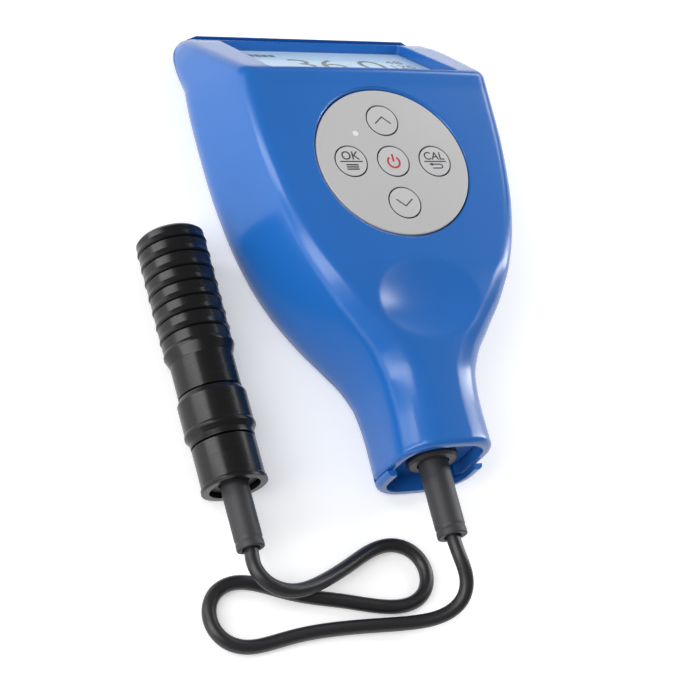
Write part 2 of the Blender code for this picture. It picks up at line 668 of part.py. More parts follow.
# Battery cover: cut from the same body so that its end follows the head
battery_cover = add_object("battery_cover", body_mesh(0.0, NECK_END, HEAD_END, OUTER_STEPS, 2, 3,
                                                      near_round=LIP_ROUND, far_round=HEAD_CORNER), blue)
cover_section = [(-COVER_HALF, -5), (COVER_HALF, -5), (COVER_HALF, COVER_STEP_Z), (tongue_half, COVER_STEP_Z),
                 (tongue_half, COVER_THICK), (-tongue_half, COVER_THICK), (-tongue_half, COVER_STEP_Z),
                 (-COVER_HALF, COVER_STEP_Z)]
cover_tool = prism_mesh(cover_section, COVER_NEAR, far_out, "XY")
place(cover_tool, Matrix.Rotation(math.radians(90), 4, "X") @ Matrix.Scale(-1, 4, (0, 0, 1)))
shape(battery_cover, [cover_tool], "INTERSECT")
grips = []
for i in range(COVER_GRIPS):
    grip_y = GRIP_FIRST_Y + i * GRIP_PITCH
    grips.append(box_mesh((-GRIP_HALF, GRIP_HALF), (grip_y, grip_y + GRIP_PITCH / 2), (-2, GRIP_DEEP)))
cut(battery_cover, [merge(grips)])


# Display
box("display_window", (-RECESS_HALF + SEAT, RECESS_HALF - SEAT), (RECESS_NEAR + SEAT, RECESS_FAR - SEAT),
    (-window_back, -RECESS_DEPTH), clear, SLOPE)
lcd_frame = box("lcd_frame", (-FRAME_HALF, FRAME_HALF), (FRAME_NEAR, FRAME_FAR), (-frame_back, -frame_top),
                white_plastic, SLOPE)
cut(lcd_frame, [box_mesh((-FRAME_HALF + FRAME_WALL, FRAME_HALF - FRAME_WALL),
                         (FRAME_NEAR + FRAME_WALL, FRAME_FAR - FRAME_WALL),
                         (-frame_top - LCD_THICK - SEAT, 0), SLOPE)])
box("lcd_panel", (-FRAME_HALF + FRAME_WALL + SEAT, FRAME_HALF - FRAME_WALL - SEAT),
    (FRAME_NEAR + FRAME_WALL + SEAT, FRAME_FAR - FRAME_WALL - SEAT),
    (-frame_top - LCD_THICK, -frame_top), lcd_glass, SLOPE)
under_frame = HEIGHT + FOLD_RISE + FOLD_Y - (frame_back + SEAT + RIBBON_THICK / 2) * math.sqrt(2)
ribbon_y = FOLD_Y - RIBBON_BACK
ribbon_low = board_top + SEAT + RIBBON_THICK / 2
ribbon_path = [(ribbon_y, under_frame - ribbon_y), (ribbon_y - 1.0, under_frame - ribbon_y + 0.4),
               (ribbon_y - 1.6, ribbon_low + 1.15), (ribbon_y - 2.6, ribbon_low), (ribbon_y - 5.4, ribbon_low)]
add_object("lcd_ribbon", prism_mesh(strip_outline(ribbon_path, RIBBON_THICK), -RIBBON_HALF, RIBBON_HALF, "YZ"),
           amber_flex)


# Keypad
keypad_panel = turned("keypad_panel", [(panel_low, 0), (panel_low, PANEL_R), (panel_top, PANEL_R),
                                       (panel_top, 0)], panel_grey, 32)
cut(keypad_panel, [merge([cylinder_mesh(x, y, panel_low - 1, panel_top + 1, key_holes, 14)
                          for x, y in KEYS.values()]
                         + [cylinder_mesh(*LAMP_XY, panel_low - 1, panel_top + 1, LAMP_R + SEAT, 8)])])
stem_low = plunger_top + SEAT
switches = {}
for name, (x, y) in KEYS.items():
    turned("key_" + name, [(stem_low, 0), (stem_low, KEY_STEM_R), (flange_low, KEY_STEM_R),
                           (flange_low, flange_r), (flange_top, flange_r), (flange_top, KEY_R),
                           (panel_top - 0.1, KEY_R), (panel_top + 0.1, KEY_R - 0.3), (panel_top, 0)],
           key_grey, 14, upright(x, y))
    turned("plunger_" + name, [(switch_top - PLUNGER_IN, 0), (switch_top - PLUNGER_IN, PLUNGER_R),
                               (plunger_top, PLUNGER_R), (plunger_top, 0)], black_plastic, 10, upright(x, y))
    half = SWITCH_SIZE / 2
    switch = box("switch_" + name, (x - half, x + half), (y - half, y + half), (switch_low, switch_top), steel)
    cut(switch, [cylinder_mesh(x, y, switch_top - PLUNGER_IN - KEY_TRAVEL - SLIDE, switch_top + 2,
                               PLUNGER_R + SLIDE, 10)])
lamp_low = switch_low + LED_HIGH + SEAT
lamp_top = shelf_low - SEAT
turned("status_lamp", [(lamp_low, 0), (lamp_low, LAMP_R), (lamp_top - LAMP_FLANGE_THICK, LAMP_R),
                       (lamp_top - LAMP_FLANGE_THICK, LAMP_FLANGE_R), (lamp_top, LAMP_FLANGE_R),
                       (lamp_top, LAMP_R), (panel_top, LAMP_R), (panel_top, 0)],
       lamp_clear, 8, upright(*LAMP_XY))
box("status_led", (LAMP_XY[0] - 1.0, LAMP_XY[0] + 1.0), (LAMP_XY[1] - 0.7, LAMP_XY[1] + 0.7),
    (switch_low, switch_low + LED_HIGH), white_plastic)


# Main board and what is on it
def board_half(y):
    return smooth(HALF_WIDTH, y) - smooth(SIDE_SLOPE, y) * board_top / HEIGHT - WALL - BOARD_EDGE


board_ys = [BOARD_NEAR, -29, -25, -20, -14, -7, 2, 11, BOARD_FAR]
board_outline = [(board_half(y), y) for y in board_ys] + [(-board_half(y), y) for y in board_ys[::-1]]
main_board = add_object("main_board", prism_mesh(board_outline, BOARD_Z, board_top), board_green)
cut(main_board, [merge([cylinder_mesh(x, y, BOARD_Z - 1, board_top + 1, screw_hole) for x, y in BOARD_BOSSES]
                       + [cylinder_mesh(x, y, BOARD_Z - 1, board_top + 1, CASE_BOSS_R + SEAT + 0.1)
                          for x, y in CASE_BOSSES[:2]])])


def on_board(name, size, material, edge):
    """Piece that stands on the board."""
    across, along, high = size
    box(name, across, along, (switch_low, switch_low + high), material, edge=edge)


on_board("processor_chip", PROCESSOR, black_plastic, 0.2)
on_board("amplifier_chip", AMPLIFIER, black_plastic, 0.2)
on_board("clock_crystal", CRYSTAL, steel, 0.5)
on_board("lead_socket", LEAD_SOCKET, white_plastic, 0.2)


def screw_profile(seat, head_r, head_high, shank_end):
    """Pan head below its seat, with a drive hollow, and a pointed shank above it."""
    top = seat - head_high
    return [(top + 0.6, 0), (top + 0.6, head_r * 0.4), (top, head_r * 0.5), (top, head_r * 0.75),
            (seat - head_high * 0.6, head_r), (seat, head_r), (seat, SMALL_SCREW_R),
            (shank_end - 0.8, SMALL_SCREW_R), (shank_end, 0)]


case_profile = screw_profile(CASE_SEAT_Z - SEAT, CASE_HEAD_R, CASE_HEAD_HIGH, CASE_SEAT_Z + CASE_SCREW_IN)
for number, (x, y) in enumerate(CASE_BOSSES, 1):
    turned(f"case_screw_{number}", case_profile, steel, 10, upright(x, y))
board_profile = screw_profile(BOARD_Z - SEAT, SMALL_HEAD_R, SMALL_HEAD_HIGH, board_top + SMALL_SCREW_IN)
for number, (x, y) in enumerate(BOARD_BOSSES, 1):
    turned(f"board_screw_{number}", board_profile, steel, 10, upright(x, y))


# Cells, their contacts and springs
cell_z = CELL_LOW + CELL_R


def cell(name, x, nub_end, towards):
    """Cell whose nub ends at a place along Y and points towards +1 or -1."""
    body = nub_end - towards * CELL_NUB
    tail = nub_end - towards * CELL_LONG
    turned(name, [(nub_end, 0), (nub_end, CELL_NUB_R), (body, CELL_NUB_R), (body, CELL_R - 0.5),
                  (body - towards * 0.5, CELL_R), (tail + towards * 0.5, CELL_R), (tail, CELL_R - 0.5),
                  (tail, 0)], cell_wrap, 16, along_y(x, cell_z))


near_plate = BAY_NEAR + SEAT
far_plate = BAY_FAR - SEAT
cell_1_nub = far_plate - CONTACT_THICK - SEAT
cell_2_nub = near_plate + CONTACT_THICK + SEAT
cell("battery_1", CELL_SIDE, cell_1_nub, 1)
cell("battery_2", -CELL_SIDE, cell_2_nub, -1)
spring_1 = (near_plate + CONTACT_THICK + SEAT, cell_1_nub - CELL_LONG - SEAT)
spring_2 = (cell_2_nub + CELL_LONG + SEAT, far_plate - CONTACT_THICK - SEAT)
coil_curve("battery_spring_1", SPRING_COIL_R, SPRING_WIRE, *spring_1, 2, steel, along_y(CELL_SIDE, cell_z))
coil_curve("battery_spring_2", SPRING_COIL_R, SPRING_WIRE, *spring_2, 2, steel, along_y(-CELL_SIDE, cell_z))
plate_z = (CELL_LOW + CONTACT_LIFT, BAY_TOP - CONTACT_SINK)
far_y = (far_plate - CONTACT_THICK, far_plate)
box("contact_bridge", (-BRIDGE_HALF, BRIDGE_HALF), (near_plate, near_plate + CONTACT_THICK), plate_z, steel)
box("contact_plus", (CELL_SIDE - CONTACT_HALF, CELL_SIDE + CONTACT_HALF), far_y, plate_z, steel)
box("contact_minus", (-CELL_SIDE - CONTACT_HALF, -CELL_SIDE + CONTACT_HALF), far_y, plate_z, steel)


# Cable outlet
gland_out = END_WALL_Y - SEAT
gland_in = END_WALL_Y + END_WALL_THICK + SEAT
boot_hole = BOOT_R + SEAT
turned("cable_gland", [(gland_out - GLAND_FACE, boot_hole), (gland_out - GLAND_FACE, GLAND_R - 0.4),
                       (gland_out - GLAND_FACE + 0.4, GLAND_R), (gland_out, GLAND_R),
                       (gland_out, GLAND_NECK_R), (gland_in, GLAND_NECK_R), (gland_in, GLAND_R),
                       (gland_in + GLAND_FACE, GLAND_R), (gland_in + GLAND_FACE, boot_hole)],
       black_plastic, 16, along_y(0, OUTLET_Z))
boot_in = gland_in + GLAND_FACE + SEAT
boot_end = gland_out - GLAND_FACE - BOOT_LONG
cable_bore = CABLE_R + CABLE_IN_BORE


def boot_profile(inner, outer, radius, flange, flange_thick):
    """Strain relief turned about its length: an inner flange, a round body and a mouth for the cable."""
    sign = 1 if inner > outer else -1
    bore_end = outer + sign * BOOT_BORE_DEEP
    return [(inner + sign * flange_thick, 0), (inner + sign * flange_thick, radius + flange),
            (inner, radius + flange), (inner, radius), (outer + sign * 0.3, radius), (outer, radius - 0.3),
            (outer, cable_bore), (bore_end, cable_bore), (bore_end, 0)]


turned("handset_boot", boot_profile(boot_in, boot_end, BOOT_R, BOOT_FLANGE, BOOT_FLANGE_THICK),
       black_rubber, 16, along_y(0, OUTLET_Z))
lead_start = boot_in + BOOT_FLANGE_THICK + SEAT
socket_y = LEAD_SOCKET[1][0]
socket_z = switch_low + LEAD_SOCKET[2] / 2
lead_points = [(0, lead_start, OUTLET_Z), (0, lead_start + 4, OUTLET_Z + 0.6),
               (0, lead_start + 7, OUTLET_Z + 3.2), (0, lead_start + 12, socket_z - 1.4),
               (0, socket_y - 4.5, socket_z + 0.1), (0, socket_y - SEAT, socket_z)]
tube_curve("inner_lead", lead_points, LEAD_R, cable_skin, 2)


# Probe: sleeves stacked on an inner tube, laid on the same surface as the handset
PROBE = (Matrix.Translation((PROBE_END[0] * MM, PROBE_END[1] * MM, PROBE_R * MM))
         @ Matrix.Rotation(math.radians(PROBE_TURN), 4, "Z") @ Matrix.Rotation(math.radians(-90), 4, "X"))

turned("probe_sleeve", [(0, BORE_R), (0, SLEEVE_RING_R - 0.2), (0.2, SLEEVE_RING_R),
                        (SLEEVE_RING, SLEEVE_RING_R), (SLEEVE_RING + 0.25, SLEEVE_R),
                        (SLEEVE_LONG - 0.15, SLEEVE_R), (SLEEVE_LONG, SLEEVE_R - 0.15),
                        (SLEEVE_LONG, BORE_R)], black_metal, 16, PROBE)
collar_start = SLEEVE_LONG + SEAT
turned("probe_collar", [(collar_start, BORE_R), (collar_start, NECK_R), (COLLAR_BEVEL, NECK_R),
                        (COLLAR_EDGE, PROBE_R), (COLLAR_EDGE + 0.5, PROBE_R), (COLLAR_EDGE + 0.9, BAND_R),
                        (COLLAR_FAR - COLLAR_BREAK, BAND_R), (COLLAR_FAR, NECK_R - 0.05),
                        (COLLAR_FAR, BORE_R)], black_metal, 16, PROBE)


def grip_profile():
    """Plain waist, a bevel up to the first edge, then ribs with a groove in front of each."""
    start = COLLAR_FAR + SEAT
    points = [(start, BORE_R), (start, SLEEVE_R), (GRIP_BEVEL, SLEEVE_R), (GRIP_EDGE, PROBE_R),
              (GRIP_EDGE + 0.4, PROBE_R), (GRIP_EDGE + 0.9, BAND_R)]
    for i in range(RIB_COUNT):
        at = RIB_FIRST + i * RIB_PITCH
        points += [(at - GROOVE_WIDE - 0.15, BAND_R), (at - GROOVE_WIDE, GROOVE_R), (at, PROBE_R),
                   (at + RIB_WIDE, BAND_R)]
    points += [(PROBE_LONG - 0.6, BAND_R), (PROBE_LONG, BAND_R - 0.6), (PROBE_LONG, BORE_R)]
    return points


turned("probe_grip", grip_profile(), black_metal, 16, PROBE)
boot_hole = PROBE_BOOT_R + SEAT
cap_far = CAP_SINK + CAP_THICK
turned("probe_end_cap", [(CAP_SINK, boot_hole), (CAP_SINK, TUBE_R), (cap_far, TUBE_R), (cap_far, boot_hole)],
       black_plastic, 16, PROBE)
turned("probe_boot", boot_profile(cap_far + SEAT, -PROBE_BOOT_LONG, PROBE_BOOT_R, PROBE_BOOT_FLANGE,
                                  PROBE_BOOT_FLANGE_THICK), black_rubber, 16, PROBE)
tube_near = cap_far + SEAT + PROBE_BOOT_FLANGE_THICK + SEAT
shoulder_far = SHOULDER_NEAR + SHOULDER_LONG
head_hole = HEAD_R + SLIDE
turned("probe_inner_tube", [(tube_near, TUBE_BORE_R), (tube_near, TUBE_R), (TUBE_FAR, TUBE_R),
                            (TUBE_FAR, TUBE_BORE_R), (shoulder_far, TUBE_BORE_R), (shoulder_far, head_hole),
                            (SHOULDER_NEAR, head_hole), (SHOULDER_NEAR, TUBE_BORE_R)], brass, 16, PROBE)
nose_near = TUBE_FAR + SEAT
turned("probe_nose", [(nose_near, head_hole), (nose_near, TUBE_R), (NOSE_FAR - 0.5, TUBE_R),
                      (NOSE_FAR, TUBE_R - 0.5), (NOSE_FAR, head_hole)], black_plastic, 16, PROBE)
head_far = NOSE_FAR + HEAD_OUT
head_flange_far = nose_near - SEAT
head_flange_near = head_flange_far - HEAD_FLANGE_THICK
core_near = head_far - TIP_LONG - COIL_LONG - CORE_BASE_ROOM
turned("probe_head", [(HEAD_TAIL, 0), (HEAD_TAIL, HEAD_R), (head_flange_near, HEAD_R),
                      (head_flange_near, HEAD_FLANGE_R), (head_flange_far, HEAD_FLANGE_R),
                      (head_flange_far, HEAD_R), (head_far - 0.3, HEAD_R), (head_far, HEAD_R - 0.3),
                      (head_far, HEAD_BORE_R), (core_near - SEAT, HEAD_BORE_R), (core_near - SEAT, 0)],
       steel, 16, PROBE)
tip_near = head_far - TIP_LONG
foot_far = core_near + CORE_BASE
inner_r = HEAD_BORE_R - SEAT
turned("probe_core", [(core_near, 0), (core_near, inner_r), (foot_far, inner_r), (foot_far, CORE_R),
                      (head_far - 0.2, CORE_R), (head_far, CORE_R * 0.6), (head_far, 0)], ferrite, 12, PROBE)
coil_in = CORE_R + SEAT
turned("probe_coil", [(foot_far + SEAT, coil_in), (foot_far + SEAT, inner_r), (tip_near - SEAT, inner_r),
                      (tip_near - SEAT, coil_in)], copper, 12, PROBE)
turned("probe_tip", [(tip_near, coil_in), (tip_near, inner_r), (head_far - 0.2, inner_r),
                     (head_far, inner_r - 0.2), (head_far, coil_in)], steel, 12, PROBE)
spring_mid = (HEAD_R + TUBE_BORE_R) / 2
coil_curve("probe_spring", spring_mid, PROBE_SPRING_WIRE, shoulder_far + SEAT, head_flange_near - SEAT,
           PROBE_SPRING_TURNS, steel, PROBE)


# Cable between the two boots
def route(points, steps):
    """Points on the soft curve that the given ones lead, from the first to the last."""
    ends = [2 * points[0] - points[1]] + points + [2 * points[-1] - points[-2]]
    line = []
    for a, b, c, d in zip(ends, ends[1:], ends[2:], ends[3:]):
        for k in range(steps):
            t = k / steps
            line.append((a * (1 - t)**3 + b * (3 * t**3 - 6 * t**2 + 4)
                         + c * (1 + 3 * t + 3 * t**2 - 3 * t**3) + d * t**3) / 6)
    line.append(points[-1])
    return line


handset_mouth = Vector((0, boot_end + BOOT_BORE_DEEP - SEAT, OUTLET_Z))
handset_face = Vector((0, boot_end - 0.8, OUTLET_Z))
probe_mouth = (PROBE @ Vector((0, 0, (-PROBE_BOOT_LONG + BOOT_BORE_DEEP - SEAT) * MM))) / MM
probe_face = (PROBE @ Vector((0, 0, (-PROBE_BOOT_LONG - 0.8) * MM))) / MM
middle = [Vector(p) for p in CABLE_POINTS]
cable_line = route([handset_mouth, handset_face] + middle + [probe_face, probe_mouth], CABLE_STEPS)
tube_curve("cable", cable_line, CABLE_R, cable_skin, 2)
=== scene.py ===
"""Looks of the coating thickness gauge: its shells, display, keypad, cable and ribbed probe.

Sizes are in millimetres and become metres where a mesh is made. Every piece lies in the frame
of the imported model: X to the right of the keypad, Y towards the display, Z out of the keypad.
"""

import math

import bmesh
import bpy
from mathutils import Matrix, Vector


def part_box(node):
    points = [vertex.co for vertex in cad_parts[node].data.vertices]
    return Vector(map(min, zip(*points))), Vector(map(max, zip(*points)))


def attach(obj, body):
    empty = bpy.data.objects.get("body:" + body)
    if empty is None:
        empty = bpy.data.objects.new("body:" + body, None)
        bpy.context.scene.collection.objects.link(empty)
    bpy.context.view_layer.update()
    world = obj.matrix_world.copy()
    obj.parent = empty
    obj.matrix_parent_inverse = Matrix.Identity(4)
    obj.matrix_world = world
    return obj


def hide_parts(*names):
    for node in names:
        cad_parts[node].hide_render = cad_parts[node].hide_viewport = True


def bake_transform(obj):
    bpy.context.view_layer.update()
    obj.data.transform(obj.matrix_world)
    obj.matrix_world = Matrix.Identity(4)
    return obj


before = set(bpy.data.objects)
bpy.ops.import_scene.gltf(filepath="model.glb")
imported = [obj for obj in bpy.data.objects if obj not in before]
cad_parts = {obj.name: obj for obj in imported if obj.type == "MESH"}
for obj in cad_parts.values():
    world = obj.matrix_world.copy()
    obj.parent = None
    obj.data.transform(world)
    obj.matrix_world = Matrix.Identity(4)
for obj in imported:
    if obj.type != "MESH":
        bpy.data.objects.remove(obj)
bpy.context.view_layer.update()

MM = 0.001
scene = bpy.context.scene
scene.view_settings.view_transform = "Standard"


# Camera: a long lens above the cable end, to the left of the handset
CAMERA_AT = Vector((-192.0, -180.5, 330.6))
VIEW_RIGHT = Vector((0.8889, -0.2343, 0.3939))
VIEW_UP = Vector((0.0435, 0.8983, 0.4368))
LENS = 102.86

camera = bpy.data.objects.new("camera", bpy.data.cameras.new("camera"))
camera.data.sensor_width = 36.0
camera.data.lens = LENS
camera.data.clip_start = 0.01
view_back = VIEW_RIGHT.cross(VIEW_UP).normalized()
view_up = view_back.cross(VIEW_RIGHT).normalized()
turn = Matrix((VIEW_RIGHT.normalized(), view_up, view_back)).transposed().to_4x4()
camera.matrix_world = Matrix.Translation(CAMERA_AT * MM) @ turn
scene.collection.objects.link(camera)
scene.camera = camera


# Cable and its two strain reliefs: one thin lead in a soft extruded PVC skin, which runs out of a
# rubber boot at the handset's neck, loops on the table and goes into a like boot on the probe.
# The boots are moulded rubber, held by a flange inside the gland and inside the probe's end cap.
CABLE_R = 1.4
CABLE_POINTS = [
    (0.6, -78.8, 10.5), (1.9, -82.6, 9.2), (0.9, -86.4, 7.0), (-3.1, -88.3, 4.7), (-8.3, -88.2, 2.9),
    (-14.0, -87.6, 1.8), (-20.0, -87.2, 1.45), (-26.5, -87.1, 1.45), (-32.5, -87.4, 1.45),
    (-38.0, -88.3, 1.45), (-43.4, -89.0, 1.45), (-48.0, -87.0, 1.45), (-49.9, -82.3, 1.45),
    (-48.0, -77.5, 1.45), (-43.2, -75.5, 1.45), (-38.0, -76.7, 1.45), (-33.0, -79.0, 1.45),
    (-27.5, -80.6, 1.45), (-21.5, -81.8, 1.45), (-15.0, -83.7, 1.45), (-8.8, -84.6, 1.45),
    (-3.8, -82.7, 1.45), (-1.8, -77.9, 1.45), (-3.8, -73.1, 1.45), (-8.6, -71.2, 1.45),
    (-13.8, -72.5, 1.8), (-18.8, -75.2, 2.6), (-24.0, -77.6, 3.8), (-29.3, -79.7, 5.3),
    (-34.6, -80.7, 6.4), (-39.4, -78.5, 7.0), (-41.0, -74.6, 7.0)]
ROUTE_STEPS = 8
BOOT_END_Y = -74.4
OUTLET_Z = 10.8
PROBE_END = (-40.95, -59.3)
PROBE_TURN = 1.9
PROBE_R = 7.0
PROBE_BOOT_LONG = 12.4
BOOT_R = 3.0
PROBE_BOOT_R = 2.73
BOOT_FLANGE = 1.0     # how far a boot's flange stands out
WAIST_FROM = 2.2      # a boot's waist begins and ends this far from its mouth
WAIST_TO = 1.2
WAIST_DEEP = 0.12
STRAIGHT_OUT = 0.8    # the cable leaves straight for this far
BORE_DEEP = 3.0
BORE_GAP = 0.35
SEAT = 0.3
PROBE = (Matrix.Translation((PROBE_END[0] * MM, PROBE_END[1] * MM, PROBE_R * MM))
         @ Matrix.Rotation(math.radians(PROBE_TURN), 4, "Z") @ Matrix.Rotation(math.radians(-90), 4, "X"))


def linear(colour):
    """Linear RGBA of an sRGB hex colour."""
    values = [int(colour[i:i + 2], 16) / 255 for i in (1, 3, 5)]
    return [v / 12.92 if v <= 0.04045 else ((v + 0.055) / 1.055) ** 2.4 for v in values] + [1.0]


def add(tree, kind, settings=None, **inputs):
    """New node with its settings; an input is a value or the socket that feeds it."""
    item = tree.nodes.new(kind)
    for key, value in (settings or {}).items():
        setattr(item, key, value)
    for key, value in inputs.items():
        socket = item.inputs[int(key[1:])] if key[1:].isdigit() else item.inputs[key.replace("_", " ")]
        if isinstance(value, bpy.types.NodeSocket):
            tree.links.new(value, socket)
        else:
            socket.default_value = value
    return item


def new_material(name, colour, roughness, **sockets):
    """Material whose shader holds the constants; returns it with its tree and shader."""
    material = bpy.data.materials.new(name)
    material.use_nodes = True
    shader = material.node_tree.nodes["Principled BSDF"]
    shader.inputs["Base Color"].default_value = linear(colour)
    shader.inputs["Roughness"].default_value = roughness
    for key, value in sockets.items():
        shader.inputs[key.replace("_", " ")].default_value = value
    material.diffuse_color = linear(colour)
    return material, material.node_tree, shader


TONE_DRIFT = 30.0     # size of the slow drift of tone in a moulding
GLOSS_LOW = 0.04      # a moulding's grain is this much glossier in its hollows
GLOSS_HIGH = 0.05     # and this much duller on its crests


def moulded(name, colour, light, roughness, grain, depth, edge=0.0, **sockets):
    """Plastic or rubber from a mould: a fine even grain, a slow drift of tone and softened edges."""
    material, tree, shader = new_material(name, colour, roughness, **sockets)
    place = add(tree, "ShaderNodeTexCoord").outputs["Object"]
    fine = add(tree, "ShaderNodeTexNoise", Vector=place, Scale=1 / (grain * MM), Detail=2.0)
    slow = add(tree, "ShaderNodeTexNoise", Vector=place, Scale=1 / (TONE_DRIFT * MM), Detail=1.0)
    tone = add(tree, "ShaderNodeMix", {"data_type": "RGBA"}, Factor=slow.outputs["Fac"],
               _6=linear(colour), _7=linear(light))
    tree.links.new(tone.outputs[2], shader.inputs["Base Color"])
    sheen = add(tree, "ShaderNodeMapRange", Value=fine.outputs["Fac"], To_Min=roughness - GLOSS_LOW,
                To_Max=roughness + GLOSS_HIGH)
    tree.links.new(sheen.outputs["Result"], shader.inputs["Roughness"])
    bump = add(tree, "ShaderNodeBump", Height=fine.outputs["Fac"], Strength=1.0, Distance=depth * MM)
    if edge:
        soft = add(tree, "ShaderNodeBevel", {"samples": 6}, Radius=edge * MM)
        tree.links.new(soft.outputs["Normal"], bump.inputs["Normal"])
    tree.links.new(bump.outputs["Normal"], shader.inputs["Normal"])
    return material


# Extruded PVC has a soft sheen and almost no grain. Moulded rubber is greyer and scatters more.
pvc_skin = moulded("extruded_pvc", "#1b1b1d", "#232326", 0.38, 0.5, 0.004)
boot_rubber = moulded("moulded_rubber", "#2c2c2f", "#353538", 0.5, 0.35, 0.012)


def lead_curve(points, steps):
    """Points on the soft curve that the given ones lead, from the first to the last."""
    ends = [2 * points[0] - points[1]] + points + [2 * points[-1] - points[-2]]
    line = []
    for a, b, c, d in zip(ends, ends[1:], ends[2:], ends[3:]):
        for k in range(steps):
            t = k / steps
            line.append((a * (1 - t)**3 + b * (3 * t**3 - 6 * t**2 + 4)
                         + c * (1 + 3 * t + 3 * t**2 - 3 * t**3) + d * t**3) / 6)
    line.append(points[-1])
    return line


def soften(points, radius, steps=4):
    """Profile with each inner corner rounded, as far as its neighbours leave room."""
    line = [Vector(points[0])]
    for a, b, c in zip(points, points[1:], points[2:]):
        a, b, c = Vector(a), Vector(b), Vector(c)
        before = (a - b).normalized()
        after = (c - b).normalized()
        angle = before.angle(after, math.pi)
        if angle > math.radians(176):
            line.append(b)
            continue
        reach = min(radius / math.tan(angle / 2), (a - b).length * 0.45, (c - b).length * 0.45)
        start = b + before * reach
        end = b + after * reach
        for k in range(steps + 1):
            t = k / steps
            line.append(start * (1 - t)**2 + b * 2 * t * (1 - t) + end * t**2)
    line.append(Vector(points[-1]))
    return line


def mesh_object(name, bm, materials, sharp=38.0):
    """Object from a bmesh in metres, closed, facing out and smooth up to an angle."""
    bmesh.ops.remove_doubles(bm, verts=bm.verts, dist=1e-7)
    bmesh.ops.dissolve_degenerate(bm, dist=1e-7, edges=bm.edges)
    bmesh.ops.recalc_face_normals(bm, faces=bm.faces)
    mesh = bpy.data.meshes.new(name)
    bm.to_mesh(mesh)
    bm.free()
    for material in materials:
        mesh.materials.append(material)
    mesh.polygons.foreach_set("use_smooth", [True] * len(mesh.polygons))
    mesh.set_sharp_from_angle(angle=math.radians(sharp))
    item = bpy.data.objects.new(name, mesh)
    scene.collection.objects.link(item)
    return item


def shade(item, sharp):
    """Smooth shading up to an angle, on a mesh that Booleans have changed."""
    item.data.polygons.foreach_set("use_smooth", [True] * len(item.data.polygons))
    item.data.set_sharp_from_angle(angle=math.radians(sharp))


def face_out(item, sharp):
    """Doubles merged, faces turned outwards and smooth shading up to an angle."""
    bm = bmesh.new()
    bm.from_mesh(item.data)
    bmesh.ops.remove_doubles(bm, verts=bm.verts, dist=1e-7)
    bmesh.ops.recalc_face_normals(bm, faces=bm.faces)
    bm.to_mesh(item.data)
    bm.free()
    shade(item, sharp)


def settle(piece, body, slot, *nodes):
    """Let a piece ride on a body and stand for CAD nodes, which are hidden; the slot is not used."""
    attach(piece, body)
    if nodes:
        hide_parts(*nodes)


def turned(profile, around, place):
    """Solid turned from (along, radius) points; ends off the axis are joined by a bore."""
    bm = bmesh.new()
    verts = [bm.verts.new((r * MM, 0, a * MM)) for a, r in profile]
    edges = [bm.edges.new(pair) for pair in zip(verts, verts[1:])]
    if profile[0][1] > 0 and profile[-1][1] > 0:
        edges.append(bm.edges.new((verts[-1], verts[0])))
    bmesh.ops.spin(bm, geom=verts + edges, cent=(0, 0, 0), axis=(0, 0, 1), dvec=(0, 0, 0),
                   angle=2 * math.pi, steps=around, use_merge=True, use_duplicate=False)
    bmesh.ops.transform(bm, matrix=place, verts=bm.verts)
    return bm


def along_y(x, z):
    return Matrix.Translation((x * MM, 0, z * MM)) @ Matrix.Rotation(math.radians(-90), 4, "X")


def boot_profile(flange_at, flange_r, face_at, end_at, radius):
    """Boot from its flange, turned about its length, to a slightly waisted, rounded mouth."""
    way = 1 if flange_at > end_at else -1
    bore = CABLE_R + BORE_GAP
    body = [(flange_at, 0), (flange_at, flange_r), (face_at, flange_r), (face_at, radius),
            (end_at + way * WAIST_FROM, radius),
            (end_at + way * (WAIST_FROM + WAIST_TO) / 2, radius - WAIST_DEEP),
            (end_at + way * WAIST_TO, radius), (end_at, radius), (end_at, bore),
            (end_at + way * BORE_DEEP, bore), (end_at + way * BORE_DEEP, 0)]
    return soften(body, 0.35, 5)


def standing_for(node):
    """Highest corner of a node, in millimetres."""
    return Vector(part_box(node)[1]) / MM


BOOT_FLANGE_THICK = 1.2
boot_flange_y = standing_for("handset_boot").y
handset_boot = mesh_object("strain_relief_handset", turned(
    boot_profile(boot_flange_y, BOOT_R + BOOT_FLANGE, boot_flange_y - BOOT_FLANGE_THICK, BOOT_END_Y, BOOT_R),
    64, along_y(0, OUTLET_Z)), [boot_rubber])
settle(handset_boot, "handset", "black_rubber", "handset_boot")

PROBE_BOOT_FLANGE_AT = 4.6
PROBE_BOOT_FACE = 3.3
probe_boot = mesh_object("strain_relief_probe", turned(
    boot_profile(PROBE_BOOT_FLANGE_AT, PROBE_BOOT_R + BOOT_FLANGE, PROBE_BOOT_FACE, -PROBE_BOOT_LONG,
                 PROBE_BOOT_R), 64, PROBE), [boot_rubber])
settle(probe_boot, "handset", "black_rubber", "probe_boot")

handset_mouth = Vector((0, BOOT_END_Y + BORE_DEEP - SEAT, OUTLET_Z))
handset_face = Vector((0, BOOT_END_Y - STRAIGHT_OUT, OUTLET_Z))
probe_mouth = (PROBE @ Vector((0, 0, (-PROBE_BOOT_LONG + BORE_DEEP - SEAT) * MM))) / MM
probe_face = (PROBE @ Vector((0, 0, (-PROBE_BOOT_LONG - STRAIGHT_OUT) * MM))) / MM
route = lead_curve([handset_mouth, handset_face] + [Vector(p) for p in CABLE_POINTS]
                   + [probe_face, probe_mouth], ROUTE_STEPS)

cable_data = bpy.data.curves.new("lead", "CURVE")
cable_data.dimensions = "3D"
cable_data.bevel_depth = CABLE_R * MM
cable_data.bevel_resolution = 6
cable_data.use_fill_caps = True
line = cable_data.splines.new("POLY")
line.points.add(len(route) - 1)
for point, spot in zip(line.points, route):
    point.co = (*(spot * MM), 1)
line.use_smooth = True
cable_data.materials.append(pvc_skin)
cable = bpy.data.objects.new("lead", cable_data)
scene.collection.objects.link(cable)
settle(cable, "handset", "cable_skin", "cable")


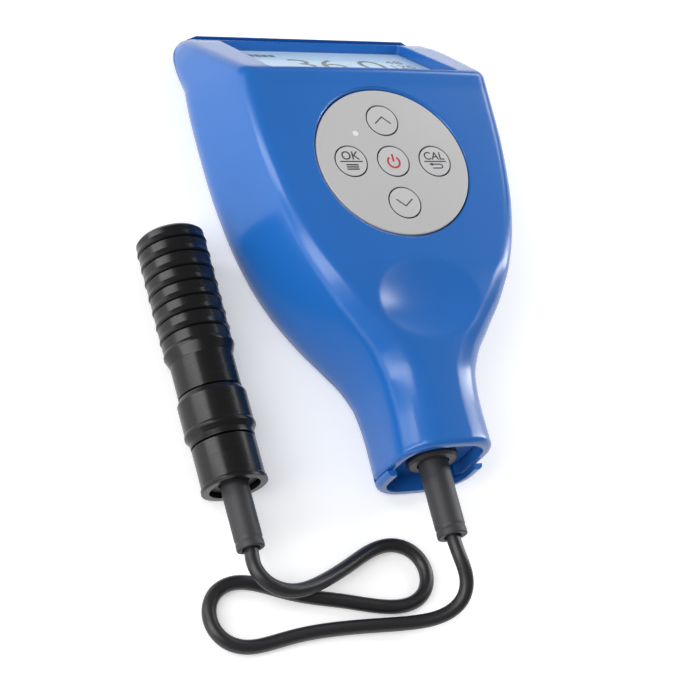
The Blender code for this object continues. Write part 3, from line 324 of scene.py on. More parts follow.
# Handset shells: two satin blue ABS mouldings, 2 mm thick, screwed together from the back.
# The front one carries the display's recess, the keypad's round seat and a thumb dimple; the rear
# one is a shallow tray, and the battery cover slides in its back towards the head.

# The body's outline: pairs of a place along Y and a half width, slope, height or rounding there
HEIGHT = 27.0
HEAD_END = 44.2
NECK_END = -61.1
LIP_END = -59.6
HALF_WIDTH = [(-61.1, 10.9), (-52.0, 11.1), (-45.0, 11.9), (-40.0, 14.0), (-35.0, 17.9),
              (-29.5, 22.4), (-23.0, 26.4), (-14.0, 29.8), (-5.0, 31.8), (8.0, 33.2),
              (22.0, 33.6), (34.0, 32.9), (44.2, 30.6)]
SIDE_SLOPE = [(-61.1, 0.6), (-43.0, 2.7), (-24.0, 5.3), (0.0, 5.4), (44.2, 5.4)]
TOP_LINE = [(-61.1, 22.2), (-47.5, 23.1), (-34.0, 25.4), (-22.0, 27.0), (22.0, 27.0)]
UPPER_ROUND = [(-61.1, 7.4), (-44.0, 7.2), (-28.0, 4.8), (-2.0, 2.9), (44.2, 2.9)]
LOWER_ROUND = [(-61.1, 7.2), (-43.0, 7.2), (-24.0, 8.0), (44.2, 8.0)]
CROWN = 0.5
FOLD_Y = 21.8
FOLD_RISE = 0.2
FOLD_ROUND = 1.2
FOLD_STATIONS = (-1.2, -0.6, -0.3, 0.0, 0.3, 0.6, 1.2)
HEAD_CORNER = 5.5
LIP_ROUND = 1.1
WALL = 2.0

# Thumb dimple, an oval dish in the face
FACE_OVER = 20.0      # only the face lies higher than this
DIMPLE_Y = -30.1
DIMPLE_DEEP = 1.4
DIMPLE_HALF = (11.0, 8.3)
DIMPLE_SOFT = 0.2     # how far the rim is softened, up and down

# Limits of the roundings, and how finely each mesh is divided
LEAST_ROUND = 0.8     # no edge is sharper, and none takes more than these shares of the height
UPPER_SHARE = 0.38
LOWER_SHARE = 0.42
LOW_RISE = 0.6        # share of the end's rounding that lifts the back
ARC_STEPS = 6         # steps of a quarter turn
FACE_GRID = (0.6, 10, 36)     # spacing along, points on an edge's arc, points across half the top
SHELL_GRID = (0.8, 10, 14)
HIDDEN_GRID = (3.0, 6, 3)

# Joint between the shells, and the display's recess with its ledge, measured down the slope
PARTING = 4.2
RIM_TOP = 11.3
RECESS_HALF = 21.85
RECESS_NEAR = 0.9
RECESS_FAR = 27.6
RECESS_CORNER = 1.0
LEDGE_TOP = 3.6
LEDGE_BACK = 4.5
LEDGE_WIDTH = 1.6
LEDGE_EXTRA = 0.5     # the ledge is this much wider at the head's end
BLOCK_SIDE = 1.75

# Keypad's seat, keys and indicator, and the bosses for the case screws
PANEL_R = 16.7
SHELF_TOP = 25.3
SHELF_LOW = 24.0
SHELF_R = 19.0
EDGE_ROUND = 0.45
EDGE_SINK = 0.1       # the seat's rounding ends this far below the face
KEY_PITCH = 9.5
KEY_R = 3.35
FLANGE_R = 4.0
LAMP_XY = (-6.8, 6.5)
LAMP_R = 0.7
BOSS_R = 2.9
BOSS_LOW = 6.3
PILOT_R = 1.25
PILOT_TOP = 17.2
OUT = 90.0            # cutters and outlines reach this far, past the whole body
CASE_BOSSES = [(21.5, 15.0), (-21.5, 15.0), (7.8, -37.6), (-7.8, -37.6)]
KEYS = {"power": (0, 0), "up": (0, KEY_PITCH), "down": (0, -KEY_PITCH),
        "ok": (-KEY_PITCH, 0), "cal": (KEY_PITCH, 0)}

# ABS from a lightly etched mould: satin, even blue, with soft bright edges.
blue_abs = moulded("moulded_abs_blue", "#1b62b2", "#2068ba", 0.24, 0.5, 0.0008, edge=0.3,
                   Coat_Weight=0.1, Coat_Roughness=0.12)


def smooth(stations, y):
    """Height of the soft curve through the stations, held level past both ends."""
    ys = [s[0] for s in stations]
    vs = [s[1] for s in stations]
    if y <= ys[0]:
        return vs[0]
    if y >= ys[-1]:
        return vs[-1]
    slopes = [(vs[k + 1] - vs[k]) / (ys[k + 1] - ys[k]) for k in range(len(ys) - 1)]
    tangents = [slopes[0]]
    for a, b in zip(slopes, slopes[1:]):
        tangents.append(0.0 if a * b <= 0 else 2 * a * b / (a + b))
    tangents.append(slopes[-1])
    i = max(k for k in range(len(ys) - 1) if ys[k] <= y)
    h = ys[i + 1] - ys[i]
    t = (y - ys[i]) / h
    return (vs[i] * (2 * t**3 - 3 * t**2 + 1) + tangents[i] * h * (t**3 - 2 * t**2 + t)
            + vs[i + 1] * (3 * t**2 - 2 * t**3) + tangents[i + 1] * h * (t**3 - t**2))


def top_height(y):
    """Height of the outer skin along the middle, rounded where the face folds to the display."""
    face = smooth(TOP_LINE, y) + FOLD_RISE * max(0.0, 1 - max(FOLD_Y - y, 0.0) / 4.0)
    slope = HEIGHT + FOLD_RISE - (y - FOLD_Y)
    blend = max(0.0, 1 - abs(face - slope) / FOLD_ROUND)
    return min(face, slope) - blend**2 * FOLD_ROUND / 4


def arc(point, to_before, to_after, radius, count):
    """Arc that rounds a corner between two directions."""
    angle = to_before.angle(to_after)
    back = radius / math.tan(angle / 2)
    start = point + to_before * back
    end = point + to_after * back
    middle = point + (to_before + to_after).normalized() * radius / math.sin(angle / 2)
    first = math.atan2(start.y - middle.y, start.x - middle.x)
    swing = math.atan2(end.y - middle.y, end.x - middle.x) - first
    swing = (swing + math.pi) % (2 * math.pi) - math.pi
    return [middle + Vector((math.cos(first + swing * k / (count - 1)),
                             math.sin(first + swing * k / (count - 1)))) * radius for k in range(count)]


def half_section(y, inset, end_inset, round_count, side_count):
    """Right half of the body's section from the middle of the top to the middle of the back."""
    slope = math.sqrt(2) if y > FOLD_Y else 1.0
    top = top_height(y) - inset * slope - end_inset
    low = inset + end_inset * LOW_RISE
    high = max(top - low, LEAST_ROUND)
    low_half = smooth(HALF_WIDTH, y) - inset - end_inset
    top_half = low_half - smooth(SIDE_SLOPE, y) * high / HEIGHT
    upper = min(max(smooth(UPPER_ROUND, y) - inset, LEAST_ROUND), UPPER_SHARE * high)
    lower = min(max(smooth(LOWER_ROUND, y) - inset, LEAST_ROUND), LOWER_SHARE * high)
    top_corner = Vector((top_half, low + high))
    low_corner = Vector((low_half, low))
    inward = Vector((-1, 0))
    down = (low_corner - top_corner).normalized()
    arc_top = arc(top_corner, inward, down, upper, round_count)
    arc_low = arc(low_corner, -down, inward, lower, round_count)
    points = [Vector((arc_top[0].x * k / side_count, low + high)) for k in range(side_count)]
    points += arc_top
    points += [arc_top[-1].lerp(arc_low[0], k / 4) for k in range(1, 4)]
    points += arc_low
    points += [Vector((arc_low[-1].x * (1 - k / side_count), low)) for k in range(1, side_count + 1)]
    crowned = []
    for p in points:
        fall = min(max((p.y - low - high * 0.5) / (high * 0.5), 0.0), 1.0) if high > 8 else 0.0
        crowned.append((p.x, p.y - CROWN * (p.x / top_half) ** 2 * fall))
    return crowned


def body_mesh(inset, near, far, spacing, round_count, side_count, near_round=0.0, far_round=0.0):
    """Closed loft of the handset's body between two ends, moved in by an inset."""
    bm = bmesh.new()
    first = near + near_round
    last = far - far_round
    count = max(int((last - first) / spacing), 2)
    stations = [(first + (last - first) * k / count, 0.0) for k in range(count + 1)]
    stations += [(FOLD_Y + d, 0.0) for d in FOLD_STATIONS if first < FOLD_Y + d < last]
    for k in range(1, ARC_STEPS + 1):
        a = math.pi / 2 * k / ARC_STEPS
        if near_round:
            stations.append((near + near_round * (1 - math.sin(a)), near_round * (1 - math.cos(a))))
        if far_round:
            stations.append((far - far_round * (1 - math.sin(a)), far_round * (1 - math.cos(a))))
    rings = []
    for y, end_inset in sorted(stations):
        half = half_section(y, inset, end_inset, round_count, side_count)
        ring = half + [(-x, z) for x, z in half[-2:0:-1]]
        rings.append([bm.verts.new((x * MM, y * MM, z * MM)) for x, z in ring])
    for a, b in zip(rings, rings[1:]):
        for i in range(len(a)):
            j = (i + 1) % len(a)
            bm.faces.new((a[i], a[j], b[j], b[i]))
    bm.faces.new(rings[0])
    bm.faces.new(rings[-1])
    return bm


def box_mesh(x, y, z, place=Matrix()):
    """Box from three (low, high) pairs."""
    bm = bmesh.new()
    size = Matrix.Diagonal(((x[1] - x[0]) * MM, (y[1] - y[0]) * MM, (z[1] - z[0]) * MM, 1))
    centre = Matrix.Translation(((x[0] + x[1]) / 2 * MM, (y[0] + y[1]) / 2 * MM, (z[0] + z[1]) / 2 * MM))
    bmesh.ops.create_cube(bm, size=1, matrix=place @ centre @ size)
    return bm


def rounded_box(half_x, y, z, corner, place, flare=0.0, steps=ARC_STEPS):
    """Block with rounded upright corners, which widens by an arc at its top when flared."""
    bm = bmesh.new()
    levels = [(z[0], 0.0), (z[1] if not flare else -flare, 0.0)]
    if flare:
        for k in range(1, steps + 1):
            a = math.pi / 2 * k / steps
            levels.append((-flare + flare * math.sin(a), flare * (1 - math.cos(a))))
        levels.append((z[1], flare * 1.05))
    rings = []
    for level, grow in levels:
        ring = []
        for cx, cy, turn_to in ((1, 1, 0), (-1, 1, 90), (-1, -1, 180), (1, -1, 270)):
            middle = Vector((cx * (half_x - corner), (y[1] - corner) if cy > 0 else (y[0] + corner)))
            for k in range(steps + 1):
                a = math.radians(turn_to + 90 * k / steps)
                spot = middle + Vector((math.cos(a), math.sin(a))) * (corner + grow)
                ring.append(bm.verts.new((spot.x * MM, spot.y * MM, level * MM)))
        rings.append(ring)
    for a, b in zip(rings, rings[1:]):
        for i in range(len(a)):
            j = (i + 1) % len(a)
            bm.faces.new((a[i], a[j], b[j], b[i]))
    bm.faces.new(rings[0])
    bm.faces.new(rings[-1])
    bmesh.ops.transform(bm, matrix=place, verts=bm.verts)
    return bm


def rod(x, y, low, high, radius, around=48):
    return turned([(low, 0), (low, radius), (high, radius), (high, 0)], around,
                  Matrix.Translation((x * MM, y * MM, 0)))


def thumb_drop(x, y):
    """How far the thumb dimple sinks the face at a spot: an oval dish with a softened rim."""
    sunk = DIMPLE_DEEP * (1 - (x / DIMPLE_HALF[0])**2 - ((y - DIMPLE_Y) / DIMPLE_HALF[1])**2)
    if abs(sunk) < DIMPLE_SOFT:
        return (sunk + DIMPLE_SOFT)**2 / (4 * DIMPLE_SOFT)
    return max(sunk, 0.0)


def several(meshes):
    """One bmesh that holds several closed shapes which don't touch."""
    whole = bmesh.new()
    for bm in meshes:
        part = bpy.data.meshes.new("part")
        bm.to_mesh(part)
        bm.free()
        whole.from_mesh(part)
        bpy.data.meshes.remove(part)
    return whole


def carve(target, tools, action="DIFFERENCE"):
    """Cut, join or keep with each tool in turn, and leave the plain result on the target."""
    for bm in tools:
        tool = mesh_object("tool", bm, []) if isinstance(bm, bmesh.types.BMesh) else bm
        step = target.modifiers.new("carve", "BOOLEAN")
        step.operation = action
        step.solver = "EXACT"
        step.object = tool
        result = bpy.data.meshes.new_from_object(target.evaluated_get(bpy.context.evaluated_depsgraph_get()))
        target.modifiers.clear()
        target.data = result
        bpy.data.objects.remove(tool, do_unlink=True)


SLOPE = (Matrix.Translation((0, FOLD_Y * MM, (HEIGHT + FOLD_RISE) * MM))
         @ Matrix.Rotation(math.radians(-45), 4, "X"))

hollow = mesh_object("hollow", body_mesh(WALL, LIP_END - 3, HEAD_END - WALL, *HIDDEN_GRID), [])
block_half = RECESS_HALF + BLOCK_SIDE
carve(hollow, [box_mesh((-block_half, block_half), (RECESS_NEAR - BLOCK_SIDE, RECESS_FAR + BLOCK_SIDE),
                        (-LEDGE_BACK, 10), SLOPE),
               rod(0, 0, SHELF_LOW, HEIGHT + 5, SHELF_R, 96),
               several([rod(x, y, BOSS_LOW, HEIGHT + 5, BOSS_R) for x, y in CASE_BOSSES])])
front_body = body_mesh(0.0, LIP_END, HEAD_END, *FACE_GRID, LIP_ROUND, HEAD_CORNER)
for vert in front_body.verts:
    if vert.co.z > FACE_OVER * MM:
        spot = vert.co / MM
        vert.co.z -= thumb_drop(spot.x, spot.y) * MM
front = mesh_object("front_shell_moulding", front_body, [blue_abs])
carve(front, [hollow,
              box_mesh((-OUT, OUT), (-OUT, OUT), (-OUT, PARTING + SEAT)),
              rounded_box(RECESS_HALF, (RECESS_NEAR, RECESS_FAR), (-LEDGE_TOP, 12), RECESS_CORNER, SLOPE,
                          flare=EDGE_ROUND),
              rounded_box(RECESS_HALF - LEDGE_WIDTH,
                          (RECESS_NEAR + LEDGE_WIDTH, RECESS_FAR - LEDGE_WIDTH - LEDGE_EXTRA),
                          (-LEDGE_BACK - 2, 0), RECESS_CORNER, SLOPE)])
round_from = HEIGHT - EDGE_ROUND - EDGE_SINK
seat = [(SHELF_TOP, 0), (SHELF_TOP, PANEL_R + SEAT), (round_from, PANEL_R + SEAT)]
for k in range(1, ARC_STEPS + 1):
    a = math.pi / 2 * k / ARC_STEPS
    seat.append((round_from + EDGE_ROUND * math.sin(a), PANEL_R + SEAT + EDGE_ROUND * (1 - math.cos(a))))
seat += [(HEIGHT + 5, PANEL_R + SEAT + EDGE_ROUND * 1.1), (HEIGHT + 5, 0)]
carve(front, [turned(seat, 160, Matrix()),
              several([rod(x, y, SHELF_LOW - 1, HEIGHT, FLANGE_R + SEAT) for x, y in KEYS.values()]
                      + [rod(*LAMP_XY, SHELF_LOW - 1, HEIGHT, LAMP_R + SEAT)]),
              several([rod(x, y, 0, PILOT_TOP, PILOT_R, 24) for x, y in CASE_BOSSES])])
shade(front, 32)
settle(front, "handset", "blue_shell", "front_shell")


# Rear shell: a shallow tray in the same blue ABS. Its rim closes the cable end, a wall behind the
# rim holds the gland, and a raised floor carries the battery bay and the grooves of its cover.
END_WALL_Y = -57.3
END_WALL_THICK = 1.8
END_FOOT_HALF = 6.0
BAY_NEAR = -27.4
BAY_FAR = 21.5
BAY_HALF = 11.3
BAY_WALL = 1.4
BAY_TOP = 12.0
PLATFORM_Z = 3.5
PLATFORM_HALF = 15.6
COVER_NEAR = -29.0
COVER_HALF = 12.6
COVER_TONGUE = 1.3
COVER_STEP_Z = 1.3
COVER_THICK = 2.2
CASE_SEAT_Z = 2.6
CASE_HEAD_R = 2.0
SCREW_HOLE_R = 1.25
PILLAR_LOW = 1.6
PILLAR_TOP = 6.0
GLAND_HOLE_R = 4.4
ALONG_X = Matrix(((0, 0, 1, 0), (1, 0, 0, 0), (0, 1, 0, 0), (0, 0, 0, 1)))
ALONG_Y = Matrix(((1, 0, 0, 0), (0, 0, 1, 0), (0, 1, 0, 0), (0, 0, 0, 1)))


def prism(outline, low, high, place=Matrix()):
    """Outline pushed from low to high out of its plane."""
    bm = bmesh.new()
    base = bm.faces.new([bm.verts.new((a * MM, b * MM, low * MM)) for a, b in outline])
    grown = bmesh.ops.extrude_face_region(bm, geom=[base])
    moved = [g for g in grown["geom"] if isinstance(g, bmesh.types.BMVert)]
    bmesh.ops.translate(bm, vec=(0, 0, (high - low) * MM), verts=moved)
    bmesh.ops.transform(bm, matrix=place, verts=bm.verts)
    return bm


tongue_half = COVER_HALF + COVER_TONGUE
rim_outline = [(-OUT, -5), (OUT, -5), (OUT, PARTING), (LIP_END - SEAT, PARTING), (LIP_END - SEAT, RIM_TOP),
               (-OUT, RIM_TOP)]
rear = mesh_object("rear_shell_moulding", body_mesh(0.0, NECK_END, HEAD_END, *SHELL_GRID, LIP_ROUND,
                                                    HEAD_CORNER), [blue_abs])
carve(rear, [prism(rim_outline, -OUT, OUT, ALONG_X)], "INTERSECT")
carve(rear, [body_mesh(WALL, LIP_END - 6, HEAD_END - WALL, *HIDDEN_GRID)])
carve(rear, [body_mesh(WALL + SEAT, END_WALL_Y, END_WALL_Y + END_WALL_THICK, *HIDDEN_GRID),
             box_mesh((-END_FOOT_HALF, END_FOOT_HALF), (END_WALL_Y, END_WALL_Y + END_WALL_THICK),
                      (WALL / 2, OUTLET_Z / 2)),
             box_mesh((-PLATFORM_HALF, PLATFORM_HALF), (COVER_NEAR - 1.8, HEAD_END - WALL - 0.5),
                      (WALL - 0.5, PLATFORM_Z)),
             box_mesh((-BAY_HALF - BAY_WALL, BAY_HALF + BAY_WALL), (BAY_NEAR - BAY_WALL, BAY_FAR + BAY_WALL),
                      (WALL, BAY_TOP)),
             several([rod(x, y, PILLAR_LOW, PILLAR_TOP, BOSS_R) for x, y in CASE_BOSSES])], "UNION")
counterbore = [(-5, 0), (-5, CASE_HEAD_R + SEAT), (CASE_SEAT_Z, CASE_HEAD_R + SEAT),
               (CASE_SEAT_Z, SCREW_HOLE_R), (10, SCREW_HOLE_R), (10, 0)]
carve(rear, [box_mesh((-BAY_HALF, BAY_HALF), (BAY_NEAR, BAY_FAR), (-5, 40)),
             box_mesh((-COVER_HALF - SEAT, COVER_HALF + SEAT), (COVER_NEAR - SEAT, OUT), (-5, COVER_STEP_Z)),
             box_mesh((-tongue_half - SEAT, tongue_half + SEAT), (COVER_NEAR - SEAT, OUT),
                      (COVER_STEP_Z - SEAT, COVER_THICK + SEAT)),
             turned([(NECK_END - 5, 0), (NECK_END - 5, GLAND_HOLE_R), (END_WALL_Y + 5, GLAND_HOLE_R),
                     (END_WALL_Y + 5, 0)], 64, along_y(0, OUTLET_Z)),
             several([turned(counterbore, 48, Matrix.Translation((x * MM, y * MM, 0)))
                      for x, y in CASE_BOSSES])])
shade(rear, 32)
settle(rear, "handset", "blue_shell", "rear_shell")


# Battery cover: a flat blue ABS slide whose two tongues run in the rear shell's grooves. Six
# rounded grip grooves at its far end let a thumb push it off towards the head.
GRIP_COUNT = 6
GRIP_PITCH = 2.2
GRIP_DEEP = 0.5
GRIP_WIDE = 1.1
GRIP_HALF = 7.0
GRIP_FIRST_Y = 26.0


def new_tree(name, sizes, counts=()):
    """Geometry tree with named inputs; returns it with its input sockets and its last node."""
    tree = bpy.data.node_groups.new(name, "GeometryNodeTree")
    for label in sizes:
        tree.interface.new_socket(label, in_out="INPUT", socket_type="NodeSocketFloat")
    for label in counts:
        tree.interface.new_socket(label, in_out="INPUT", socket_type="NodeSocketInt")
    tree.interface.new_socket("Geometry", in_out="OUTPUT", socket_type="NodeSocketGeometry")
    return tree, add(tree, "NodeGroupInput").outputs, add(tree, "NodeGroupOutput")


def close_tree(tree, shape, last, material):
    """End of a tree: its instances made real and its material set."""
    real = add(tree, "GeometryNodeRealizeInstances", Geometry=shape)
    done = add(tree, "GeometryNodeSetMaterial", Geometry=real.outputs[0], Material=material)
    tree.links.new(done.outputs[0], last.inputs[0])


def grow(name, tree, place, **values):
    """Plain mesh object of a tree with its inputs set, laid in its place."""
    item = bpy.data.objects.new(name, bpy.data.meshes.new(name))
    scene.collection.objects.link(item)
    step = item.modifiers.new("grow", "NODES")
    step.node_group = tree
    for socket in tree.interface.items_tree:
        if socket.in_out == "INPUT":
            step[socket.identifier] = values[socket.name.replace(" ", "_")]
    mesh = bpy.data.meshes.new_from_object(item.evaluated_get(bpy.context.evaluated_depsgraph_get()))
    item.modifiers.clear()
    mesh.transform(place)
    item.data = mesh
    return item


# Round bars side by side, which cut the grip grooves
bars_tree, bars_in, bars_out = new_tree("grip_bars", ["Radius", "Length", "Pitch"], ["Count"])
offset = add(bars_tree, "ShaderNodeCombineXYZ", Y=bars_in["Pitch"])
bar_line = add(bars_tree, "GeometryNodeMeshLine", Count=bars_in["Count"], Offset=offset.outputs[0])
bar = add(bars_tree, "GeometryNodeMeshCylinder", Vertices=32, Radius=bars_in["Radius"],
          Depth=bars_in["Length"])
bars = add(bars_tree, "GeometryNodeInstanceOnPoints", Points=bar_line.outputs[0],
           Instance=bar.outputs["Mesh"], Rotation=(0.0, math.pi / 2, 0.0))
close_tree(bars_tree, bars.outputs[0], bars_out, blue_abs)

bar_r = (GRIP_DEEP**2 + (GRIP_WIDE / 2)**2) / (2 * GRIP_DEEP)
grip_bars = grow("grip_bars", bars_tree, Matrix.Translation((0, (GRIP_FIRST_Y + GRIP_WIDE / 2) * MM,
                                                             (GRIP_DEEP - bar_r) * MM)),
                 Radius=bar_r * MM, Length=2 * GRIP_HALF * MM, Pitch=GRIP_PITCH * MM, Count=GRIP_COUNT)
cover = mesh_object("battery_cover_slide", body_mesh(0.0, NECK_END, HEAD_END, *SHELL_GRID, LIP_ROUND,
                                                     HEAD_CORNER), [blue_abs])
cover_outline = [(-COVER_HALF, -5), (COVER_HALF, -5), (COVER_HALF, COVER_STEP_Z),
                 (tongue_half, COVER_STEP_Z), (tongue_half, COVER_THICK), (-tongue_half, COVER_THICK),
                 (-tongue_half, COVER_STEP_Z), (-COVER_HALF, COVER_STEP_Z)]
carve(cover, [prism(cover_outline, COVER_NEAR, OUT, ALONG_Y)], "INTERSECT")
carve(cover, [grip_bars])
shade(cover, 32)
settle(cover, "cover_body", "blue_shell", "battery_cover")


# Case screws: four small pan-head screws of bright steel, sunk in the rear shell's corners, with a
# cross recess. They hold the two shells together.
SCREW_R = 0.95
SCREW_HEAD_HIGH = 1.6
SCREW_IN = 9.0
SCREW_POINT = 0.8
SCREW_TURN = 31       # each cross stands this many degrees from the last
RECESS_WIDE = 0.55
RECESS_LONG = 2.2
RECESS_IN = 0.9


def brushed(name, colour, light, roughness, grain, depth, stretch=(1, 1, 1), turn=0.0, **sockets):
    """Metal with fine marks drawn out along one way; stretch divides the grain on each axis."""
    material, tree, shader = new_material(name, colour, roughness, **sockets)
    place = add(tree, "ShaderNodeTexCoord").outputs["Object"]
    laid = add(tree, "ShaderNodeMapping", Vector=place, Rotation=(0.0, 0.0, turn), Scale=stretch)
    marks = add(tree, "ShaderNodeTexNoise", Vector=laid.outputs[0], Scale=1 / (grain * MM), Detail=3.0)
    tone = add(tree, "ShaderNodeMix", {"data_type": "RGBA"}, Factor=marks.outputs["Fac"],
               _6=linear(colour), _7=linear(light))
    tree.links.new(tone.outputs[2], shader.inputs["Base Color"])
    sheen = add(tree, "ShaderNodeMapRange", Value=marks.outputs["Fac"], To_Min=roughness - 0.04,
                To_Max=roughness + 0.06)
    tree.links.new(sheen.outputs["Result"], shader.inputs["Roughness"])
    bump = add(tree, "ShaderNodeBump", Height=marks.outputs["Fac"], Strength=1.0, Distance=depth * MM)
    tree.links.new(bump.outputs["Normal"], shader.inputs["Normal"])
    return material


# Zinc-plated steel: bright, slightly cool, with short marks from tumbling.
zinc_steel = brushed("zinc_plated_steel", "#b9bbbd", "#d0d1d2", 0.28, 0.3, 0.002, Metallic=1.0)


def screw(x, y, seat_z, head_r, head_high, end_z):
    """Pan-head screw that stands head down, as a closed bmesh."""
    top = seat_z - head_high
    return turned(soften([(top, 0), (top, head_r * 0.7), (seat_z - head_high * 0.5, head_r),
                          (seat_z, head_r), (seat_z, SCREW_R), (end_z - SCREW_POINT, SCREW_R),
                          (end_z, 0)], 0.25), 40, Matrix.Translation((x * MM, y * MM, 0)))


def cross_recess(x, y, top_z, turn):
    """Two crossed slots sunk in a screw's head."""
    place = Matrix.Translation((x * MM, y * MM, 0)) @ Matrix.Rotation(math.radians(turn), 4, "Z")
    half = RECESS_WIDE / 2
    arm = RECESS_LONG / 2
    outline = [(half, half), (arm, half), (arm, -half), (half, -half), (half, -arm), (-half, -arm),
               (-half, -half), (-arm, -half), (-arm, half), (-half, half), (-half, arm), (half, arm)]
    return prism(outline, top_z - 1, top_z + RECESS_IN, place)


screw_seat = CASE_SEAT_Z - SEAT
case_screws = mesh_object("case_screws", several([
    screw(x, y, screw_seat, CASE_HEAD_R, SCREW_HEAD_HIGH, CASE_SEAT_Z + SCREW_IN) for x, y in CASE_BOSSES]),
    [zinc_steel])
carve(case_screws, [several([cross_recess(x, y, screw_seat - SCREW_HEAD_HIGH, 20 + SCREW_TURN * k)
                             for k, (x, y) in enumerate(CASE_BOSSES)])])
shade(case_screws, 35)
settle(case_screws, "handset", "steel", *[f"case_screw_{k}" for k in (1, 2, 3, 4)])


# Display: a clear acrylic face over a liquid crystal picture of dark digits on pale blue, which
# together make the window's plate. It is set in the slope's recess, over the panel and its frame.
RECESS_DEPTH = 2.3
WINDOW_THICK = 1.0
FACE_THICK = 0.1
DIGIT_THICK = 0.03
STROKE_GAIN = 0.012   # printed letters are this much bolder than their plain form
DIGIT_GAIN = -0.014   # and the display's digits are this much thinner
BIG_DIGIT = 9.6
SMALL_DIGIT = 3.0
CAPITAL_SHARE = 0.72  # a capital's height in the font's size
SMALL_X = 15.6
TICK_X = -18.5
TICK_PITCH = 1.6
TICK_WIDE = 1.2
TICK_LOW = 21.2
TICK_TOP = 23.2
BIG_FOOT = 10.0       # foot of the large digits, down the slope


def lettering(words, height, x, y, place, thick, gain=STROKE_GAIN):
    """Plain sans characters of a height, centred at x and based at y, laid on a place."""
    data = bpy.data.curves.new("letters", "FONT")
    data.body = words
    data.size = height / CAPITAL_SHARE
    data.align_x = "CENTER"
    data.extrude = thick / 2
    data.offset = height * gain
    holder = bpy.data.objects.new("letters", data)
    scene.collection.objects.link(holder)
    mesh = bpy.data.meshes.new_from_object(holder.evaluated_get(bpy.context.evaluated_depsgraph_get()))
    bpy.data.objects.remove(holder, do_unlink=True)
    bm = bmesh.new()
    bm.from_mesh(mesh)
    bmesh.ops.transform(bm, matrix=place @ Matrix.Scale(MM, 4) @ Matrix.Translation((x, y, thick / 2)),
                        verts=bm.verts)
    return bm


# Cast acrylic: clear, with a hard gloss. Most of what is under it shows.
acrylic, acrylic_tree, acrylic_shader = new_material("clear_acrylic", "#dfeaf5", 0.04, Alpha=0.12, IOR=1.49)
acrylic_place = add(acrylic_tree, "ShaderNodeTexCoord").outputs["Object"]
smear = add(acrylic_tree, "ShaderNodeTexNoise", Vector=acrylic_place, Scale=1 / (6 * MM), Detail=2.0)
smear_map = add(acrylic_tree, "ShaderNodeMapRange", Value=smear.outputs["Fac"], To_Min=0.02, To_Max=0.09)
acrylic_tree.links.new(smear_map.outputs["Result"], acrylic_shader.inputs["Roughness"])

# Liquid crystal glass: pale blue with a very fine grid of cells, drawn coarser so that it shows.
lcd_pale, lcd_tree, lcd_shader = new_material("liquid_crystal_glass", "#bfe0fa", 0.35)
lcd_place = add(lcd_tree, "ShaderNodeTexCoord").outputs["Object"]
lcd_grid = add(lcd_tree, "ShaderNodeTexVoronoi", {"feature": "F1", "distance": "CHEBYCHEV"},
               Vector=lcd_place, Scale=1 / (0.4 * MM), Randomness=0.0)
lcd_tone = add(lcd_tree, "ShaderNodeMix", {"data_type": "RGBA"}, Factor=lcd_grid.outputs["Distance"],
               _6=linear("#c6e5fc"), _7=linear("#b3d8f6"))
lcd_tree.links.new(lcd_tone.outputs[2], lcd_shader.inputs["Base Color"])

# The crystal's dark state: near black with a violet cast.
crystal_dark = moulded("crystal_dark_state", "#20242f", "#262b38", 0.35, 0.4, 0.001)
frame_white = moulded("moulded_white_abs", "#d4d4d0", "#dcdcd8", 0.45, 0.5, 0.004)

window_y = (RECESS_NEAR + SEAT, RECESS_FAR - SEAT)
picture_top = -RECESS_DEPTH - FACE_THICK - DIGIT_THICK
window = mesh_object("window_face", rounded_box(RECESS_HALF - SEAT, window_y, (-RECESS_DEPTH - FACE_THICK,
                                                                               -RECESS_DEPTH), RECESS_CORNER,
                                                SLOPE), [acrylic])
settle(window, "handset", "clear_window", "display_window")
picture = mesh_object("display_picture", rounded_box(RECESS_HALF - SEAT, window_y,
                                                     (-RECESS_DEPTH - WINDOW_THICK, picture_top),
                                                     RECESS_CORNER, SLOPE), [lcd_pale])
settle(picture, "handset", "lcd_glass", "display_window")

picture_face = SLOPE @ Matrix.Translation((0, 0, picture_top * MM))
digits = mesh_object("display_digits", several([
    lettering("36.0", BIG_DIGIT, 0.6, BIG_FOOT, picture_face, DIGIT_THICK, DIGIT_GAIN),
    lettering("125", SMALL_DIGIT, SMALL_X, BIG_FOOT + 2.4, picture_face, DIGIT_THICK, 0.0),
    lettering("48", SMALL_DIGIT, SMALL_X, BIG_FOOT + 6.8, picture_face, DIGIT_THICK, 0.0)]
    + [box_mesh((TICK_X + TICK_PITCH * k, TICK_X + TICK_WIDE + TICK_PITCH * k), (TICK_LOW, TICK_TOP),
                (0, DIGIT_THICK), picture_face) for k in range(5)]), [crystal_dark])
settle(digits, "handset", "lcd_glass")


def refinish(material, *nodes):
    """Better material in a CAD node's own slots."""
    for node in nodes:
        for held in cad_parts[node].material_slots:
            held.material = material


refinish(lcd_pale, "lcd_panel")
refinish(frame_white, "lcd_frame", "status_led", "lead_socket")


# Keypad: a round grey polycarbonate plate, seated flush in the face, with five round keys of the
# same grey. A dark gap runs round each key, and its sign is printed on the cap.
PANEL_TOP = 26.8
PANEL_LOW = 25.6
CAP_TOP = 26.85
FLANGE_LOW = 24.5
STEM_LOW = 21.6
STEM_R = 1.5
KEY_GAP = 0.3
PIPE_GAP = 0.04
CAP_SHOWS = 0.2
PRINT_THICK = 0.02
STROKE = 0.26
POWER_STROKE = 0.42
BAR_STROKE = 0.3
BAR_FIRST = -0.85
BAR_PITCH = 0.5

